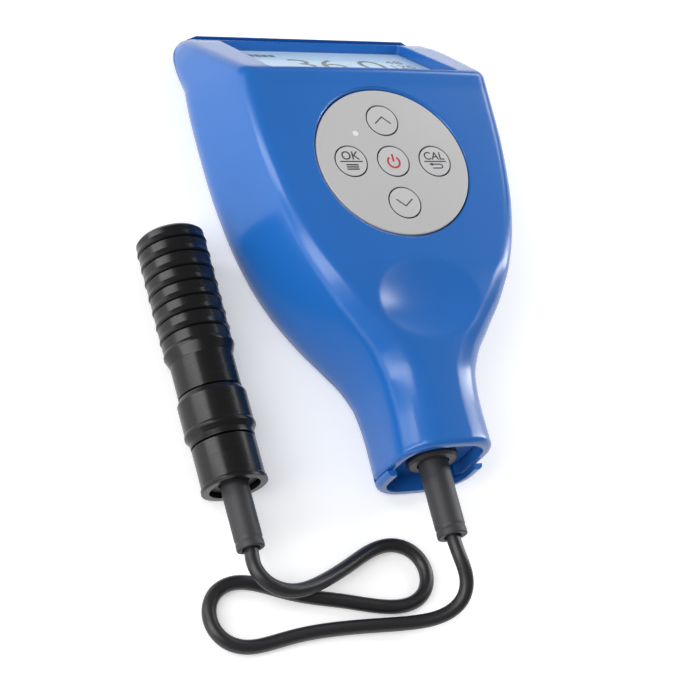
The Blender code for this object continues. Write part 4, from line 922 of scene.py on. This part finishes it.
# Polycarbonate from a fine-etched mould: even light grey with a low sheen. The caps are a
# little paler and stand on a dark silicone skirt, and the print is matt ink.
panel_grey = moulded("etched_polycarbonate", "#b4b4b5", "#bababb", 0.42, 0.3, 0.003)
cap_grey = moulded("silicone_grey", "#b9b9ba", "#bfbfc0", 0.45, 0.3, 0.003)
dark_silicone = moulded("silicone_dark", "#161618", "#1c1c1e", 0.6, 0.3, 0.003)
dark_ink = moulded("screen_print_dark", "#2b2b2e", "#323236", 0.55, 0.2, 0.001)
red_ink = moulded("screen_print_red", "#b3202c", "#bd2833", 0.5, 0.2, 0.001)

panel = mesh_object("keypad_plate", turned(soften([
    (PANEL_LOW, 0), (PANEL_LOW, PANEL_R), (PANEL_TOP, PANEL_R), (PANEL_TOP, 0)], 0.25), 160, Matrix()),
    [panel_grey])
carve(panel, [several([rod(x, y, PANEL_LOW - 1, PANEL_TOP + 1, KEY_R + KEY_GAP, 72)
                       for x, y in KEYS.values()]
                      + [rod(*LAMP_XY, PANEL_LOW - 1, PANEL_TOP + 1, LAMP_R + PIPE_GAP)])])
shade(panel, 35)
settle(panel, "handset", "grey_panel", "keypad_panel")


def stroke(points, wide):
    """Bent line of one width as an outline, with mitred corners."""
    left, right = [], []
    for i, point in enumerate(points):
        here = Vector(point)
        before = (here - Vector(points[i - 1])).normalized() if i else None
        after = (Vector(points[i + 1]) - here).normalized() if i + 1 < len(points) else None
        before = before or after
        after = after or before
        mean = (before + after).normalized()
        side = Vector((-mean.y, mean.x)) * wide / 2 / max(mean.dot(after), 0.4)
        left.append(tuple(here + side))
        right.append(tuple(here - side))
    return left + right[::-1]


def round_line(middle, radius, first, last, steps=28):
    """Points on an arc between two angles in degrees."""
    turns = [math.radians(first + (last - first) * k / steps) for k in range(steps + 1)]
    return [(middle[0] + radius * math.cos(a), middle[1] + radius * math.sin(a)) for a in turns]


SIGNS = {
    "power": [stroke(round_line((0, -0.2), 1.3, 128, 412), POWER_STROKE),
              stroke([(0, -0.1), (0, 1.6)], POWER_STROKE)],
    "up": [stroke([(-1.8, -0.75), (0, 0.8), (1.8, -0.75)], STROKE)],
    "down": [stroke([(-1.8, 0.75), (0, -0.8), (1.8, 0.75)], STROKE)],
    "ok": [stroke([(-2.5, -0.1), (2.5, -0.1)], STROKE)]
          + [stroke([(-1.35, BAR_FIRST - BAR_PITCH * k), (1.35, BAR_FIRST - BAR_PITCH * k)], BAR_STROKE)
             for k in range(3)],
    "cal": [stroke([(-2.5, -0.1), (2.5, -0.1)], STROKE),
            stroke([(-0.7, -0.75), (1.0, -0.75)] + round_line((1.0, -1.2), 0.45, 75, -75, 8)
                   + [(1.0, -1.65), (-0.9, -1.65)], STROKE),
            [(-1.6, -0.75), (-0.7, -0.38), (-0.7, -1.12)]]}
WORDS = {"ok": ("OK", 1.95), "cal": ("CAL", 1.8)}
WORD_FOOT = 0.35      # the words stand this far above the middle of a cap

cap_profile = soften([(STEM_LOW, 0), (STEM_LOW, STEM_R), (FLANGE_LOW, STEM_R), (FLANGE_LOW, FLANGE_R),
                      (SHELF_TOP, FLANGE_R), (SHELF_TOP, KEY_R), (CAP_TOP, KEY_R), (CAP_TOP, 0)], 0.15)
for key, (x, y) in KEYS.items():
    spot = Matrix.Translation((x * MM, y * MM, 0))
    cap = mesh_object("cap_" + key, turned(cap_profile, 72, spot), [cap_grey, dark_silicone])
    for face in cap.data.polygons:
        face.material_index = int(face.center.z < (CAP_TOP - CAP_SHOWS) * MM)
    settle(cap, "key_" + key + "_body", "grey_key", "key_" + key)
    signs = [prism(outline, CAP_TOP, CAP_TOP + PRINT_THICK, spot) for outline in SIGNS[key]]
    if key in WORDS:
        words, tall = WORDS[key]
        signs.append(lettering(words, tall, x, y + WORD_FOOT, Matrix.Translation((0, 0, CAP_TOP * MM)),
                               PRINT_THICK))
    sign = mesh_object("sign_" + key, several(signs), [red_ink if key == "power" else dark_ink])
    settle(sign, "key_" + key + "_body", "grey_key")


# Indicator: a small light pipe of frosted acrylic, flush in the keypad plate. Its flange keeps it
# from falling out, and it stands over the light source on the board.
LAMP_LOW = 18.9
LAMP_FLANGE_LOW = 22.9
LAMP_FLANGE_TOP = 23.7
LAMP_FLANGE_R = 1.4
# Frosted acrylic glows a little whiter than the plate round it.
light_pipe = moulded("frosted_acrylic", "#dcdcdc", "#e6e6e6", 0.3, 0.3, 0.002)
indicator = mesh_object("indicator_pipe", turned(soften([
    (LAMP_LOW, 0), (LAMP_LOW, LAMP_R), (LAMP_FLANGE_LOW, LAMP_R), (LAMP_FLANGE_LOW, LAMP_FLANGE_R),
    (LAMP_FLANGE_TOP, LAMP_FLANGE_R), (LAMP_FLANGE_TOP, LAMP_R), (PANEL_TOP, LAMP_R), (PANEL_TOP, 0)], 0.12),
    32, Matrix()), [light_pipe])
indicator.data.transform(Matrix.Translation((LAMP_XY[0] * MM, LAMP_XY[1] * MM, 0)))
settle(indicator, "handset", "lamp_clear", "status_lamp")


# Cable gland: a dark nylon ring clipped in the end wall, with a flange on each side of the wall
# and the strain relief passing through its middle.
GLAND_R = 5.2
GLAND_NECK_R = 4.1
GLAND_FACE = 1.4
gland_out = END_WALL_Y - SEAT
gland_in = END_WALL_Y + END_WALL_THICK + SEAT
# Glass-filled nylon: dark grey, satin, with a coarser grain than the shells.
nylon = moulded("glass_filled_nylon", "#29292c", "#313134", 0.42, 0.4, 0.008)
gland = mesh_object("gland_ring", turned(soften([
    (gland_out - GLAND_FACE, BOOT_R + SEAT), (gland_out - GLAND_FACE, GLAND_R - 0.5),
    (gland_out - 0.8, GLAND_R), (gland_out, GLAND_R), (gland_out, GLAND_NECK_R), (gland_in, GLAND_NECK_R),
    (gland_in, GLAND_R), (gland_in + GLAND_FACE, GLAND_R), (gland_in + GLAND_FACE, BOOT_R + SEAT)], 0.25),
    96, along_y(0, OUTLET_Z)), [nylon])
settle(gland, "handset", "black_plastic", "cable_gland")


# Probe: three turned sleeves of black anodised aluminium on one inner tube. The sleeve at the cable
# end has a ring, the collar a bevel and an edge, and the long grip has seven shallow saw-tooth ribs.
PROBE_LONG = 53.5
BORE_R = 5.0
SLEEVE_R = 6.25
SLEEVE_RING_R = 6.5
SLEEVE_LONG = 8.9
COLLAR_BEVEL = 10.2
COLLAR_EDGE = 11.3
COLLAR_FAR = 19.2
COLLAR_BREAK = 1.1
NECK_R = 6.3
BAND_R = 6.82
GRIP_BEVEL = 26.3
GRIP_EDGE = 28.3
RIB_FIRST = 31.8
RIB_PITCH = 3.18
RIB_COUNT = 7
RIB_WIDE = 0.9
GROOVE_R = 6.35
GROOVE_WIDE = 0.45
GROOVE_SIDE = 0.15
END_BREAK = 0.6
GRIP_ROWS = 420
GRIP_AROUND = 96

# Black anodised aluminium, bead-blasted then polished: deep black with a hard gloss, and faint
# rings left by the lathe.
anodised = brushed("black_anodised_aluminium", "#101012", "#151517", 0.25, 0.5, 0.0012,
                   stretch=(0.1, 1, 0.1), turn=-math.radians(PROBE_TURN), Metallic=0.25)

sleeve = mesh_object("probe_sleeve_turned", turned(soften([
    (0, BORE_R), (0, SLEEVE_RING_R), (0.8, SLEEVE_RING_R), (1.05, SLEEVE_R), (SLEEVE_LONG, SLEEVE_R),
    (SLEEVE_LONG, BORE_R)], 0.15), 96, PROBE), [anodised])
settle(sleeve, "handset", "black_anodised", "probe_sleeve")
collar_start = SLEEVE_LONG + SEAT
collar = mesh_object("probe_collar_turned", turned(soften([
    (collar_start, BORE_R), (collar_start, NECK_R), (COLLAR_BEVEL, NECK_R), (COLLAR_EDGE, PROBE_R),
    (COLLAR_EDGE + 0.5, PROBE_R), (COLLAR_EDGE + 0.9, BAND_R), (COLLAR_FAR - COLLAR_BREAK, BAND_R),
    (COLLAR_FAR, NECK_R - 0.05), (COLLAR_FAR, BORE_R)], 0.12), 96, PROBE), [anodised])
settle(collar, "handset", "black_anodised", "probe_collar")

# The grip's radius along its length: a waist, a bevel to the first edge, a band, ribs and a break
grip_tree, grip_in, grip_out = new_tree(
    "ribbed_grip", ["Start", "End", "Bore", "Waist", "Ridge", "Band", "Groove", "Bevel From", "Bevel To",
                    "First Rib", "Rib Pitch", "Rib Width", "Groove Width", "Groove Side", "End Break"],
    ["Rows", "Around", "Rib Count"])


EDGE_LAND = 0.4       # flat of the first edge, before it drops to the band
EDGE_DROP = 0.5

grid = add(grip_tree, "GeometryNodeMeshGrid", Size_X=1.0, Size_Y=1.0, Vertices_X=grip_in["Around"],
           Vertices_Y=grip_in["Rows"])
spot = add(grip_tree, "ShaderNodeSeparateXYZ", Vector=add(grip_tree, "GeometryNodeInputPosition").outputs[0])

# Each row is a value's name, its operation and what goes into it: a number or the name of a value.
# A ramp grows from its fourth to its fifth entry while its first goes from the second to the third.
GRIP_RULE = [
    ("row gaps", "SUBTRACT", "Rows", 1.0),
    ("row", "DIVIDE", 1.0, "row gaps"),
    ("reach", "SUBTRACT", 0.5, "row"),
    ("back reach", "MULTIPLY", "reach", -1.0),
    ("along", "RAMP", "grid y", "back reach", "reach", "Start", "End"),
    ("ridge over band", "SUBTRACT", "Ridge", "Band"),
    ("ridge over waist", "SUBTRACT", "Ridge", "Waist"),
    ("edge far", "ADD", "Bevel To", EDGE_LAND * MM),
    ("edge foot", "ADD", "edge far", EDGE_DROP * MM),
    ("bevel", "RAMP", "along", "Bevel From", "Bevel To", 0.0, "ridge over waist"),
    ("drop", "RAMP", "along", "edge far", "edge foot", 0.0, "ridge over band"),
    ("break from", "SUBTRACT", "End", "End Break"),
    ("break", "RAMP", "along", "break from", "End", 0.0, "End Break"),
    ("with bevel", "ADD", "Waist", "bevel"),
    ("with drop", "SUBTRACT", "with bevel", "drop"),
    ("plain radius", "SUBTRACT", "with drop", "break"),
    ("past first", "SUBTRACT", "along", "First Rib"),
    ("phase", "FLOORED_MODULO", "past first", "Rib Pitch"),
    ("groove from", "SUBTRACT", "Rib Pitch", "Groove Width"),
    ("side from", "SUBTRACT", "groove from", "Groove Side"),
    ("band over groove", "SUBTRACT", "Band", "Groove"),
    ("ridge over groove", "SUBTRACT", "Ridge", "Groove"),
    ("rib fall", "RAMP", "phase", 0.0, "Rib Width", 0.0, "ridge over band"),
    ("groove fall", "RAMP", "phase", "side from", "groove from", 0.0, "band over groove"),
    ("groove rise", "RAMP", "phase", "groove from", "Rib Pitch", 0.0, "ridge over groove"),
    ("rib crest", "SUBTRACT", "ridge over band", "rib fall"),
    ("rib side", "SUBTRACT", "rib crest", "groove fall"),
    ("rib", "ADD", "rib side", "groove rise"),
    ("groove all", "ADD", "Groove Width", "Groove Side"),
    ("ribs from", "SUBTRACT", "First Rib", "groove all"),
    ("ribs long", "MULTIPLY", "Rib Pitch", "Rib Count"),
    ("ribs to", "ADD", "ribs from", "ribs long"),
    ("after first", "GREATER_THAN", "along", "ribs from"),
    ("before last", "LESS_THAN", "along", "ribs to"),
    ("among ribs", "MULTIPLY", "after first", "before last"),
    ("rib here", "MULTIPLY", "rib", "among ribs"),
    ("ribbed radius", "ADD", "plain radius", "rib here"),
    ("from middle", "ABSOLUTE", "grid y"),
    ("half row", "MULTIPLY", "row", 0.5),
    ("last row from", "SUBTRACT", 0.5, "half row"),
    ("end row", "GREATER_THAN", "from middle", "last row from"),
    ("not end row", "SUBTRACT", 1.0, "end row"),
    ("wall radius", "MULTIPLY", "ribbed radius", "not end row"),
    ("end radius", "MULTIPLY", "Bore", "end row"),
    ("radius", "ADD", "wall radius", "end radius"),
    ("angle", "MULTIPLY", "grid x", 2 * math.pi),
    ("cosine", "COSINE", "angle"),
    ("sine", "SINE", "angle"),
    ("outer x", "MULTIPLY", "cosine", "radius"),
    ("outer y", "MULTIPLY", "sine", "radius"),
    ("inner x", "MULTIPLY", "cosine", "Bore"),
    ("inner y", "MULTIPLY", "sine", "Bore")]
value = {socket.name: socket for socket in grip_in}
value["grid x"] = spot.outputs["X"]
value["grid y"] = spot.outputs["Y"]
for name, operation, *entries in GRIP_RULE:
    kind = "ShaderNodeMapRange" if operation == "RAMP" else "ShaderNodeMath"
    settings = {} if operation == "RAMP" else {"operation": operation}
    sources = {f"_{k}": value.get(entry, entry) for k, entry in enumerate(entries)}
    value[name] = add(grip_tree, kind, settings, **sources).outputs[0]

# The grid is bent twice round the axis, as the ribbed outside and as the bore, and sewn together
whole = add(grip_tree, "GeometryNodeJoinGeometry")
for x, y in (("outer x", "outer y"), ("inner x", "inner y")):
    bent = add(grip_tree, "ShaderNodeCombineXYZ", X=value[x], Y=value[y], Z=value["along"])
    wall = add(grip_tree, "GeometryNodeSetPosition", Geometry=grid.outputs["Mesh"],
               Position=bent.outputs[0])
    grip_tree.links.new(wall.outputs[0], whole.inputs[0])
sealed = add(grip_tree, "GeometryNodeMergeByDistance", Geometry=whole.outputs[0], Distance=0.002 * MM)
close_tree(grip_tree, sealed.outputs[0], grip_out, anodised)

grip = grow("probe_grip_turned", grip_tree, PROBE, Start=(COLLAR_FAR + SEAT) * MM, End=PROBE_LONG * MM,
            Bore=BORE_R * MM, Waist=SLEEVE_R * MM, Ridge=PROBE_R * MM, Band=BAND_R * MM,
            Groove=GROOVE_R * MM, Bevel_From=GRIP_BEVEL * MM, Bevel_To=GRIP_EDGE * MM,
            First_Rib=RIB_FIRST * MM, Rib_Pitch=RIB_PITCH * MM, Rib_Width=RIB_WIDE * MM,
            Groove_Width=GROOVE_WIDE * MM,
            Groove_Side=GROOVE_SIDE * MM, End_Break=END_BREAK * MM, Rows=GRIP_ROWS,
            Around=GRIP_AROUND + 1, Rib_Count=RIB_COUNT)
face_out(grip, 30)
settle(grip, "handset", "black_anodised", "probe_grip")


# Probe ends: a nylon cap closes the cable end round the strain relief. At the measuring end a
# nylon bush guides a spring-loaded steel head with a ferrite core, a coil and a hard tip ring.
TUBE_R = BORE_R - SEAT
CAP_SINK = 1.0
CAP_THICK = 2.0
NOSE_NEAR = 50.0
NOSE_FAR = 53.2
HEAD_R = 2.55
HEAD_BORE_R = 1.95
HEAD_TAIL = 34.5
HEAD_FLANGE_R = 3.55
HEAD_FLANGE_NEAR = 48.2
HEAD_FLANGE_FAR = 49.7
HEAD_FAR = 54.5
CORE_NEAR = 46.0
CORE_R = 0.65
TIP_LONG = 1.5
inner_r = HEAD_BORE_R - SEAT
coil_r = CORE_R + SEAT

# Ground stainless steel: fine rings round the head. Sintered ferrite: dull dark grey.
ground_steel = brushed("ground_stainless_steel", "#aeb0b3", "#c6c8ca", 0.24, 0.2, 0.0015,
                       stretch=(0.2, 1, 0.2), turn=-math.radians(PROBE_TURN), Metallic=1.0)
ferrite = moulded("sintered_ferrite", "#3a3a3d", "#47474a", 0.5, 0.15, 0.004)
end_cap = mesh_object("probe_cap_nylon", turned(soften([
    (CAP_SINK, PROBE_BOOT_R + SEAT), (CAP_SINK, TUBE_R), (CAP_SINK + CAP_THICK, TUBE_R),
    (CAP_SINK + CAP_THICK, PROBE_BOOT_R + SEAT)], 0.25), 72, PROBE), [nylon])
settle(end_cap, "handset", "black_plastic", "probe_end_cap")
nose = mesh_object("probe_nose_bush", turned(soften([
    (NOSE_NEAR, HEAD_R + SEAT), (NOSE_NEAR, TUBE_R), (NOSE_FAR - 0.5, TUBE_R), (NOSE_FAR, TUBE_R - 0.5),
    (NOSE_FAR, HEAD_R + SEAT)], 0.15), 72, PROBE), [nylon])
settle(nose, "handset", "black_plastic", "probe_nose")
head = mesh_object("measuring_head", turned(soften([
    (HEAD_TAIL, 0), (HEAD_TAIL, HEAD_R), (HEAD_FLANGE_NEAR, HEAD_R), (HEAD_FLANGE_NEAR, HEAD_FLANGE_R),
    (HEAD_FLANGE_FAR, HEAD_FLANGE_R), (HEAD_FLANGE_FAR, HEAD_R), (HEAD_FAR - 0.3, HEAD_R),
    (HEAD_FAR, HEAD_R - 0.3), (HEAD_FAR, HEAD_BORE_R), (CORE_NEAR - SEAT, HEAD_BORE_R),
    (CORE_NEAR - SEAT, 0)], 0.12), 72, PROBE), [ground_steel])
settle(head, "probe_head_body", "steel", "probe_head")
core = mesh_object("measuring_core", turned(soften([
    (CORE_NEAR, 0), (CORE_NEAR, inner_r), (CORE_NEAR + 1.2, inner_r), (CORE_NEAR + 1.2, CORE_R),
    (HEAD_FAR - 0.25, CORE_R), (HEAD_FAR, CORE_R * 0.6), (HEAD_FAR, 0)], 0.15), 40, PROBE), [ferrite])
settle(core, "probe_head_body", "ferrite", "probe_core")
tip = mesh_object("measuring_tip_ring", turned(soften([
    (HEAD_FAR - TIP_LONG, coil_r), (HEAD_FAR - TIP_LONG, inner_r), (HEAD_FAR - 0.2, inner_r),
    (HEAD_FAR, inner_r - 0.2), (HEAD_FAR, coil_r)], 0.1), 48, PROBE), [ground_steel])
settle(tip, "probe_head_body", "steel", "probe_tip")


# Springs: round steel wire wound in open coils. One is held between each cell and the bay's wall,
# and one between the inner tube's shoulder and the measuring head's flange.
SPRING_TURNS = 2.0
SPRING_R = 2.6
SPRING_WIRE = 0.22
PROBE_SPRING_TURNS = 4.0
PROBE_SPRING_R = 3.225
PROBE_SPRING_WIRE = 0.24
PROBE_SPRING_FROM = 40.3
PROBE_SPRING_TO = 47.9
CELL_SIDE = 5.6
CELL_Z = 7.75
SPRING_ENDS = ((-26.4, -24.3), (18.4, 20.5))

coil_tree, coil_in, coil_out = new_tree("wound_spring", ["Radius", "Length", "Turns", "Wire"])
winding = add(coil_tree, "GeometryNodeCurveSpiral", Resolution=32, Rotations=coil_in["Turns"],
              Start_Radius=coil_in["Radius"], End_Radius=coil_in["Radius"], Height=coil_in["Length"])
wire = add(coil_tree, "GeometryNodeCurvePrimitiveCircle", Resolution=12, Radius=coil_in["Wire"])
wound = add(coil_tree, "GeometryNodeCurveToMesh", Curve=winding.outputs[0], Profile_Curve=wire.outputs[0],
            Fill_Caps=True)
close_tree(coil_tree, wound.outputs[0], coil_out, zinc_steel)


def spring(name, node, body, place, low, high, radius, turns, wire_r):
    """Spring between two places along a frame's axis, in place of its CAD node."""
    item = grow(name, coil_tree, place @ Matrix.Translation((0, 0, (low + wire_r) * MM)), Radius=radius * MM,
                Length=(high - low - 2 * wire_r) * MM, Turns=turns, Wire=wire_r * MM)
    face_out(item, 40)
    settle(item, body, "steel", node)


for number, side in ((1, 1), (2, -1)):
    low, high = SPRING_ENDS[number - 1]
    spring(f"cell_spring_{number}", f"battery_spring_{number}", "handset", along_y(side * CELL_SIDE, CELL_Z),
           low, high, SPRING_R, SPRING_TURNS, SPRING_WIRE)

# The head's spring is pressed between the tube's shoulder and the head's flange, so it shortens
head_spring = grow("head_spring", coil_tree,
                   PROBE @ Matrix.Translation((0, 0, (PROBE_SPRING_FROM + PROBE_SPRING_WIRE) * MM)),
                   Radius=PROBE_SPRING_R * MM, Turns=PROBE_SPRING_TURNS, Wire=PROBE_SPRING_WIRE * MM,
                   Length=(PROBE_SPRING_TO - PROBE_SPRING_FROM - 2 * PROBE_SPRING_WIRE) * MM)
face_out(head_spring, 40)
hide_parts("probe_spring")
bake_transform(head_spring)


# Cells: two dry cells in steel cans with a printed shrink wrap. They lie head to tail in the bay,
# pressed by their springs, each with a plated button at its plus end.
CELL_R = 5.25
CELL_LONG = 44.5
BUTTON_LONG = 0.8
BUTTON_R = 1.9
CELL_NUBS = (20.5, -26.4)

# Printed shrink film: charcoal with a soft gloss. The steel can shows at both ends.
shrink_film = moulded("printed_shrink_film", "#2f3136", "#373a40", 0.28, 0.8, 0.002)


def cell(name, node, x, nub, way):
    """Cell whose button ends at a place along Y and points one way."""
    body = nub - way * BUTTON_LONG
    tail = nub - way * CELL_LONG
    profile = [(nub, 0), (nub, BUTTON_R), (body, BUTTON_R), (body, CELL_R - 0.7), (body - way * 0.3, CELL_R),
               (tail + way * 0.3, CELL_R), (tail, CELL_R - 0.7), (tail, 0)]
    item = mesh_object(name, turned(soften(profile, 0.3), 64, along_y(x, CELL_Z)), [shrink_film, zinc_steel])
    for face in item.data.polygons:
        if math.hypot(face.center.x - x * MM, face.center.z - CELL_Z * MM) < (CELL_R - 0.8) * MM:
            face.material_index = 1
    settle(item, "handset", "cell_wrap", node)


cell("cell_right", "battery_1", CELL_SIDE, CELL_NUBS[0], 1)
cell("cell_left", "battery_2", -CELL_SIDE, CELL_NUBS[1], -1)
refinish(zinc_steel, "contact_bridge", "contact_plus", "contact_minus", "board_screw_1", "board_screw_2",
         "clock_crystal", *["switch_" + key for key in KEYS])


# Board and what stands on it: glass epoxy under green solder mask, with black moulded chips, steel
# switches under the keys, a polyimide ribbon up to the display and the probe's thin lead.
TRACK_PITCH = 1.3
RIBBON_PITCH = 0.5
black_moulding = moulded("black_epoxy_moulding", "#1d1d1f", "#242426", 0.5, 0.2, 0.003)

# Solder mask: glossy dark green over copper tracks, which show as lighter lines.
solder_mask, mask_tree, mask_shader = new_material("green_solder_mask", "#0e4424", 0.32)
mask_place = add(mask_tree, "ShaderNodeTexCoord").outputs["Object"]
tracks = add(mask_tree, "ShaderNodeTexVoronoi", {"feature": "DISTANCE_TO_EDGE"}, Vector=mask_place,
             Scale=1 / (TRACK_PITCH * 2 * MM))
track_line = add(mask_tree, "ShaderNodeMath", {"operation": "LESS_THAN"}, _0=tracks.outputs["Distance"],
                 _1=0.06)
mask_tone = add(mask_tree, "ShaderNodeMix", {"data_type": "RGBA"}, Factor=track_line.outputs[0],
                _6=linear("#0e4424"), _7=linear("#1c6a3a"))
mask_tree.links.new(mask_tone.outputs[2], mask_shader.inputs["Base Color"])

# Polyimide film: amber, with darker copper lines along it.
polyimide, film_tree, film_shader = new_material("amber_polyimide", "#a9661c", 0.38)
film_lines = add(film_tree, "ShaderNodeTexWave", {"bands_direction": "X"},
                 Vector=add(film_tree, "ShaderNodeTexCoord").outputs["Object"],
                 Scale=2 * math.pi / (20 * RIBBON_PITCH * MM))
film_tone = add(film_tree, "ShaderNodeMix", {"data_type": "RGBA"}, Factor=film_lines.outputs["Fac"],
                _6=linear("#8d4f12"), _7=linear("#b8752a"))
film_tree.links.new(film_tone.outputs[2], film_shader.inputs["Base Color"])

# The inner tube is blackened brass with marks along it, so no bright line shows in the joints of
# the sleeves. The coil is enamelled copper wire, with marks round the probe.
blackened_brass = brushed("blackened_brass", "#171614", "#201e1b", 0.36, 0.3, 0.002, stretch=(1, 0.1, 1),
                          turn=-math.radians(PROBE_TURN), Metallic=0.6)
copper_wire = brushed("enamelled_copper_wire", "#a85a32", "#bd6d42", 0.32, 0.15, 0.01, stretch=(0.1, 1, 0.1),
                      turn=-math.radians(PROBE_TURN), Metallic=1.0)

refinish(solder_mask, "main_board")
refinish(polyimide, "lcd_ribbon")
refinish(black_moulding, "processor_chip", "amplifier_chip", *["plunger_" + key for key in KEYS])
refinish(pvc_skin, "inner_lead")
refinish(blackened_brass, "probe_inner_tube")
refinish(copper_wire, "probe_coil")


# Floor, sky and lamps: a plain pale table top, a broad soft lamp over the left side with a low strip
# beside it for the bright lines along the shoulders and the probe, one lamp behind and one strip to
# the right. The floor and the sky look white to the camera without lighting the object more.
FLOOR_GLOW = 0.35
SKY_LIGHT = 0.34
SKY_SEEN = 0.66       # added where the camera sees the sky
SKY_GLOSS = -0.1      # added where a gloss mirrors it
floor_material, floor_tree, floor_shader = new_material("pale_table", "#f4f4f4", 0.9)
floor_shader.inputs["Specular IOR Level"].default_value = 0.0
rays = add(floor_tree, "ShaderNodeLightPath")
seen = add(floor_tree, "ShaderNodeMath", {"operation": "MAXIMUM"}, _0=rays.outputs["Is Camera Ray"],
           _1=rays.outputs["Is Glossy Ray"])
seen = add(floor_tree, "ShaderNodeMath", {"operation": "MAXIMUM"}, _0=seen.outputs[0],
           _1=rays.outputs["Is Transmission Ray"])
glow = add(floor_tree, "ShaderNodeMath", {"operation": "MULTIPLY"}, _0=seen.outputs[0], _1=FLOOR_GLOW)
floor_shader.inputs["Emission Color"].default_value = (1, 1, 1, 1)
floor_tree.links.new(glow.outputs[0], floor_shader.inputs["Emission Strength"])
floor_bm = bmesh.new()
bmesh.ops.create_grid(floor_bm, x_segments=1, y_segments=1, size=3.0)
floor = mesh_object("table", floor_bm, [floor_material])

world = bpy.data.worlds.new("studio")
world.use_nodes = True
sky_rays = add(world.node_tree, "ShaderNodeLightPath")
sky = add(world.node_tree, "ShaderNodeMath", {"operation": "MULTIPLY_ADD"},
          _0=sky_rays.outputs["Is Glossy Ray"], _1=SKY_GLOSS, _2=SKY_LIGHT)
sky = add(world.node_tree, "ShaderNodeMath", {"operation": "MULTIPLY_ADD"},
          _0=sky_rays.outputs["Is Camera Ray"], _1=SKY_SEEN, _2=sky.outputs[0])
background = world.node_tree.nodes["Background"]
background.inputs["Color"].default_value = (1, 1, 1, 1)
world.node_tree.links.new(sky.outputs[0], background.inputs["Strength"])
scene.world = world


def soft_lamp(name, spot, aim, size, power):
    """Area lamp at a place, turned to a point, both in millimetres."""
    data = bpy.data.lights.new(name, "AREA")
    data.shape = "RECTANGLE"
    data.size = size[0] * MM
    data.size_y = size[1] * MM
    data.energy = power
    lamp = bpy.data.objects.new(name, data)
    facing = (Vector(aim) - Vector(spot)).to_track_quat("-Z", "Y").to_matrix().to_4x4()
    lamp.matrix_world = Matrix.Translation(Vector(spot) * MM) @ facing
    scene.collection.objects.link(lamp)


soft_lamp("left_box", (-400, -130, 290), (0, -10, 10), (220, 560), 1.9)
soft_lamp("left_strip", (-430, 150, 120), (-20, -10, 10), (90, 520), 0.9)
soft_lamp("back_box", (380, 330, 260), (0, 0, 10), (260, 200), 0.8)
soft_lamp("right_strip", (400, 30, 170), (0, -10, 10), (60, 420), 0.9)
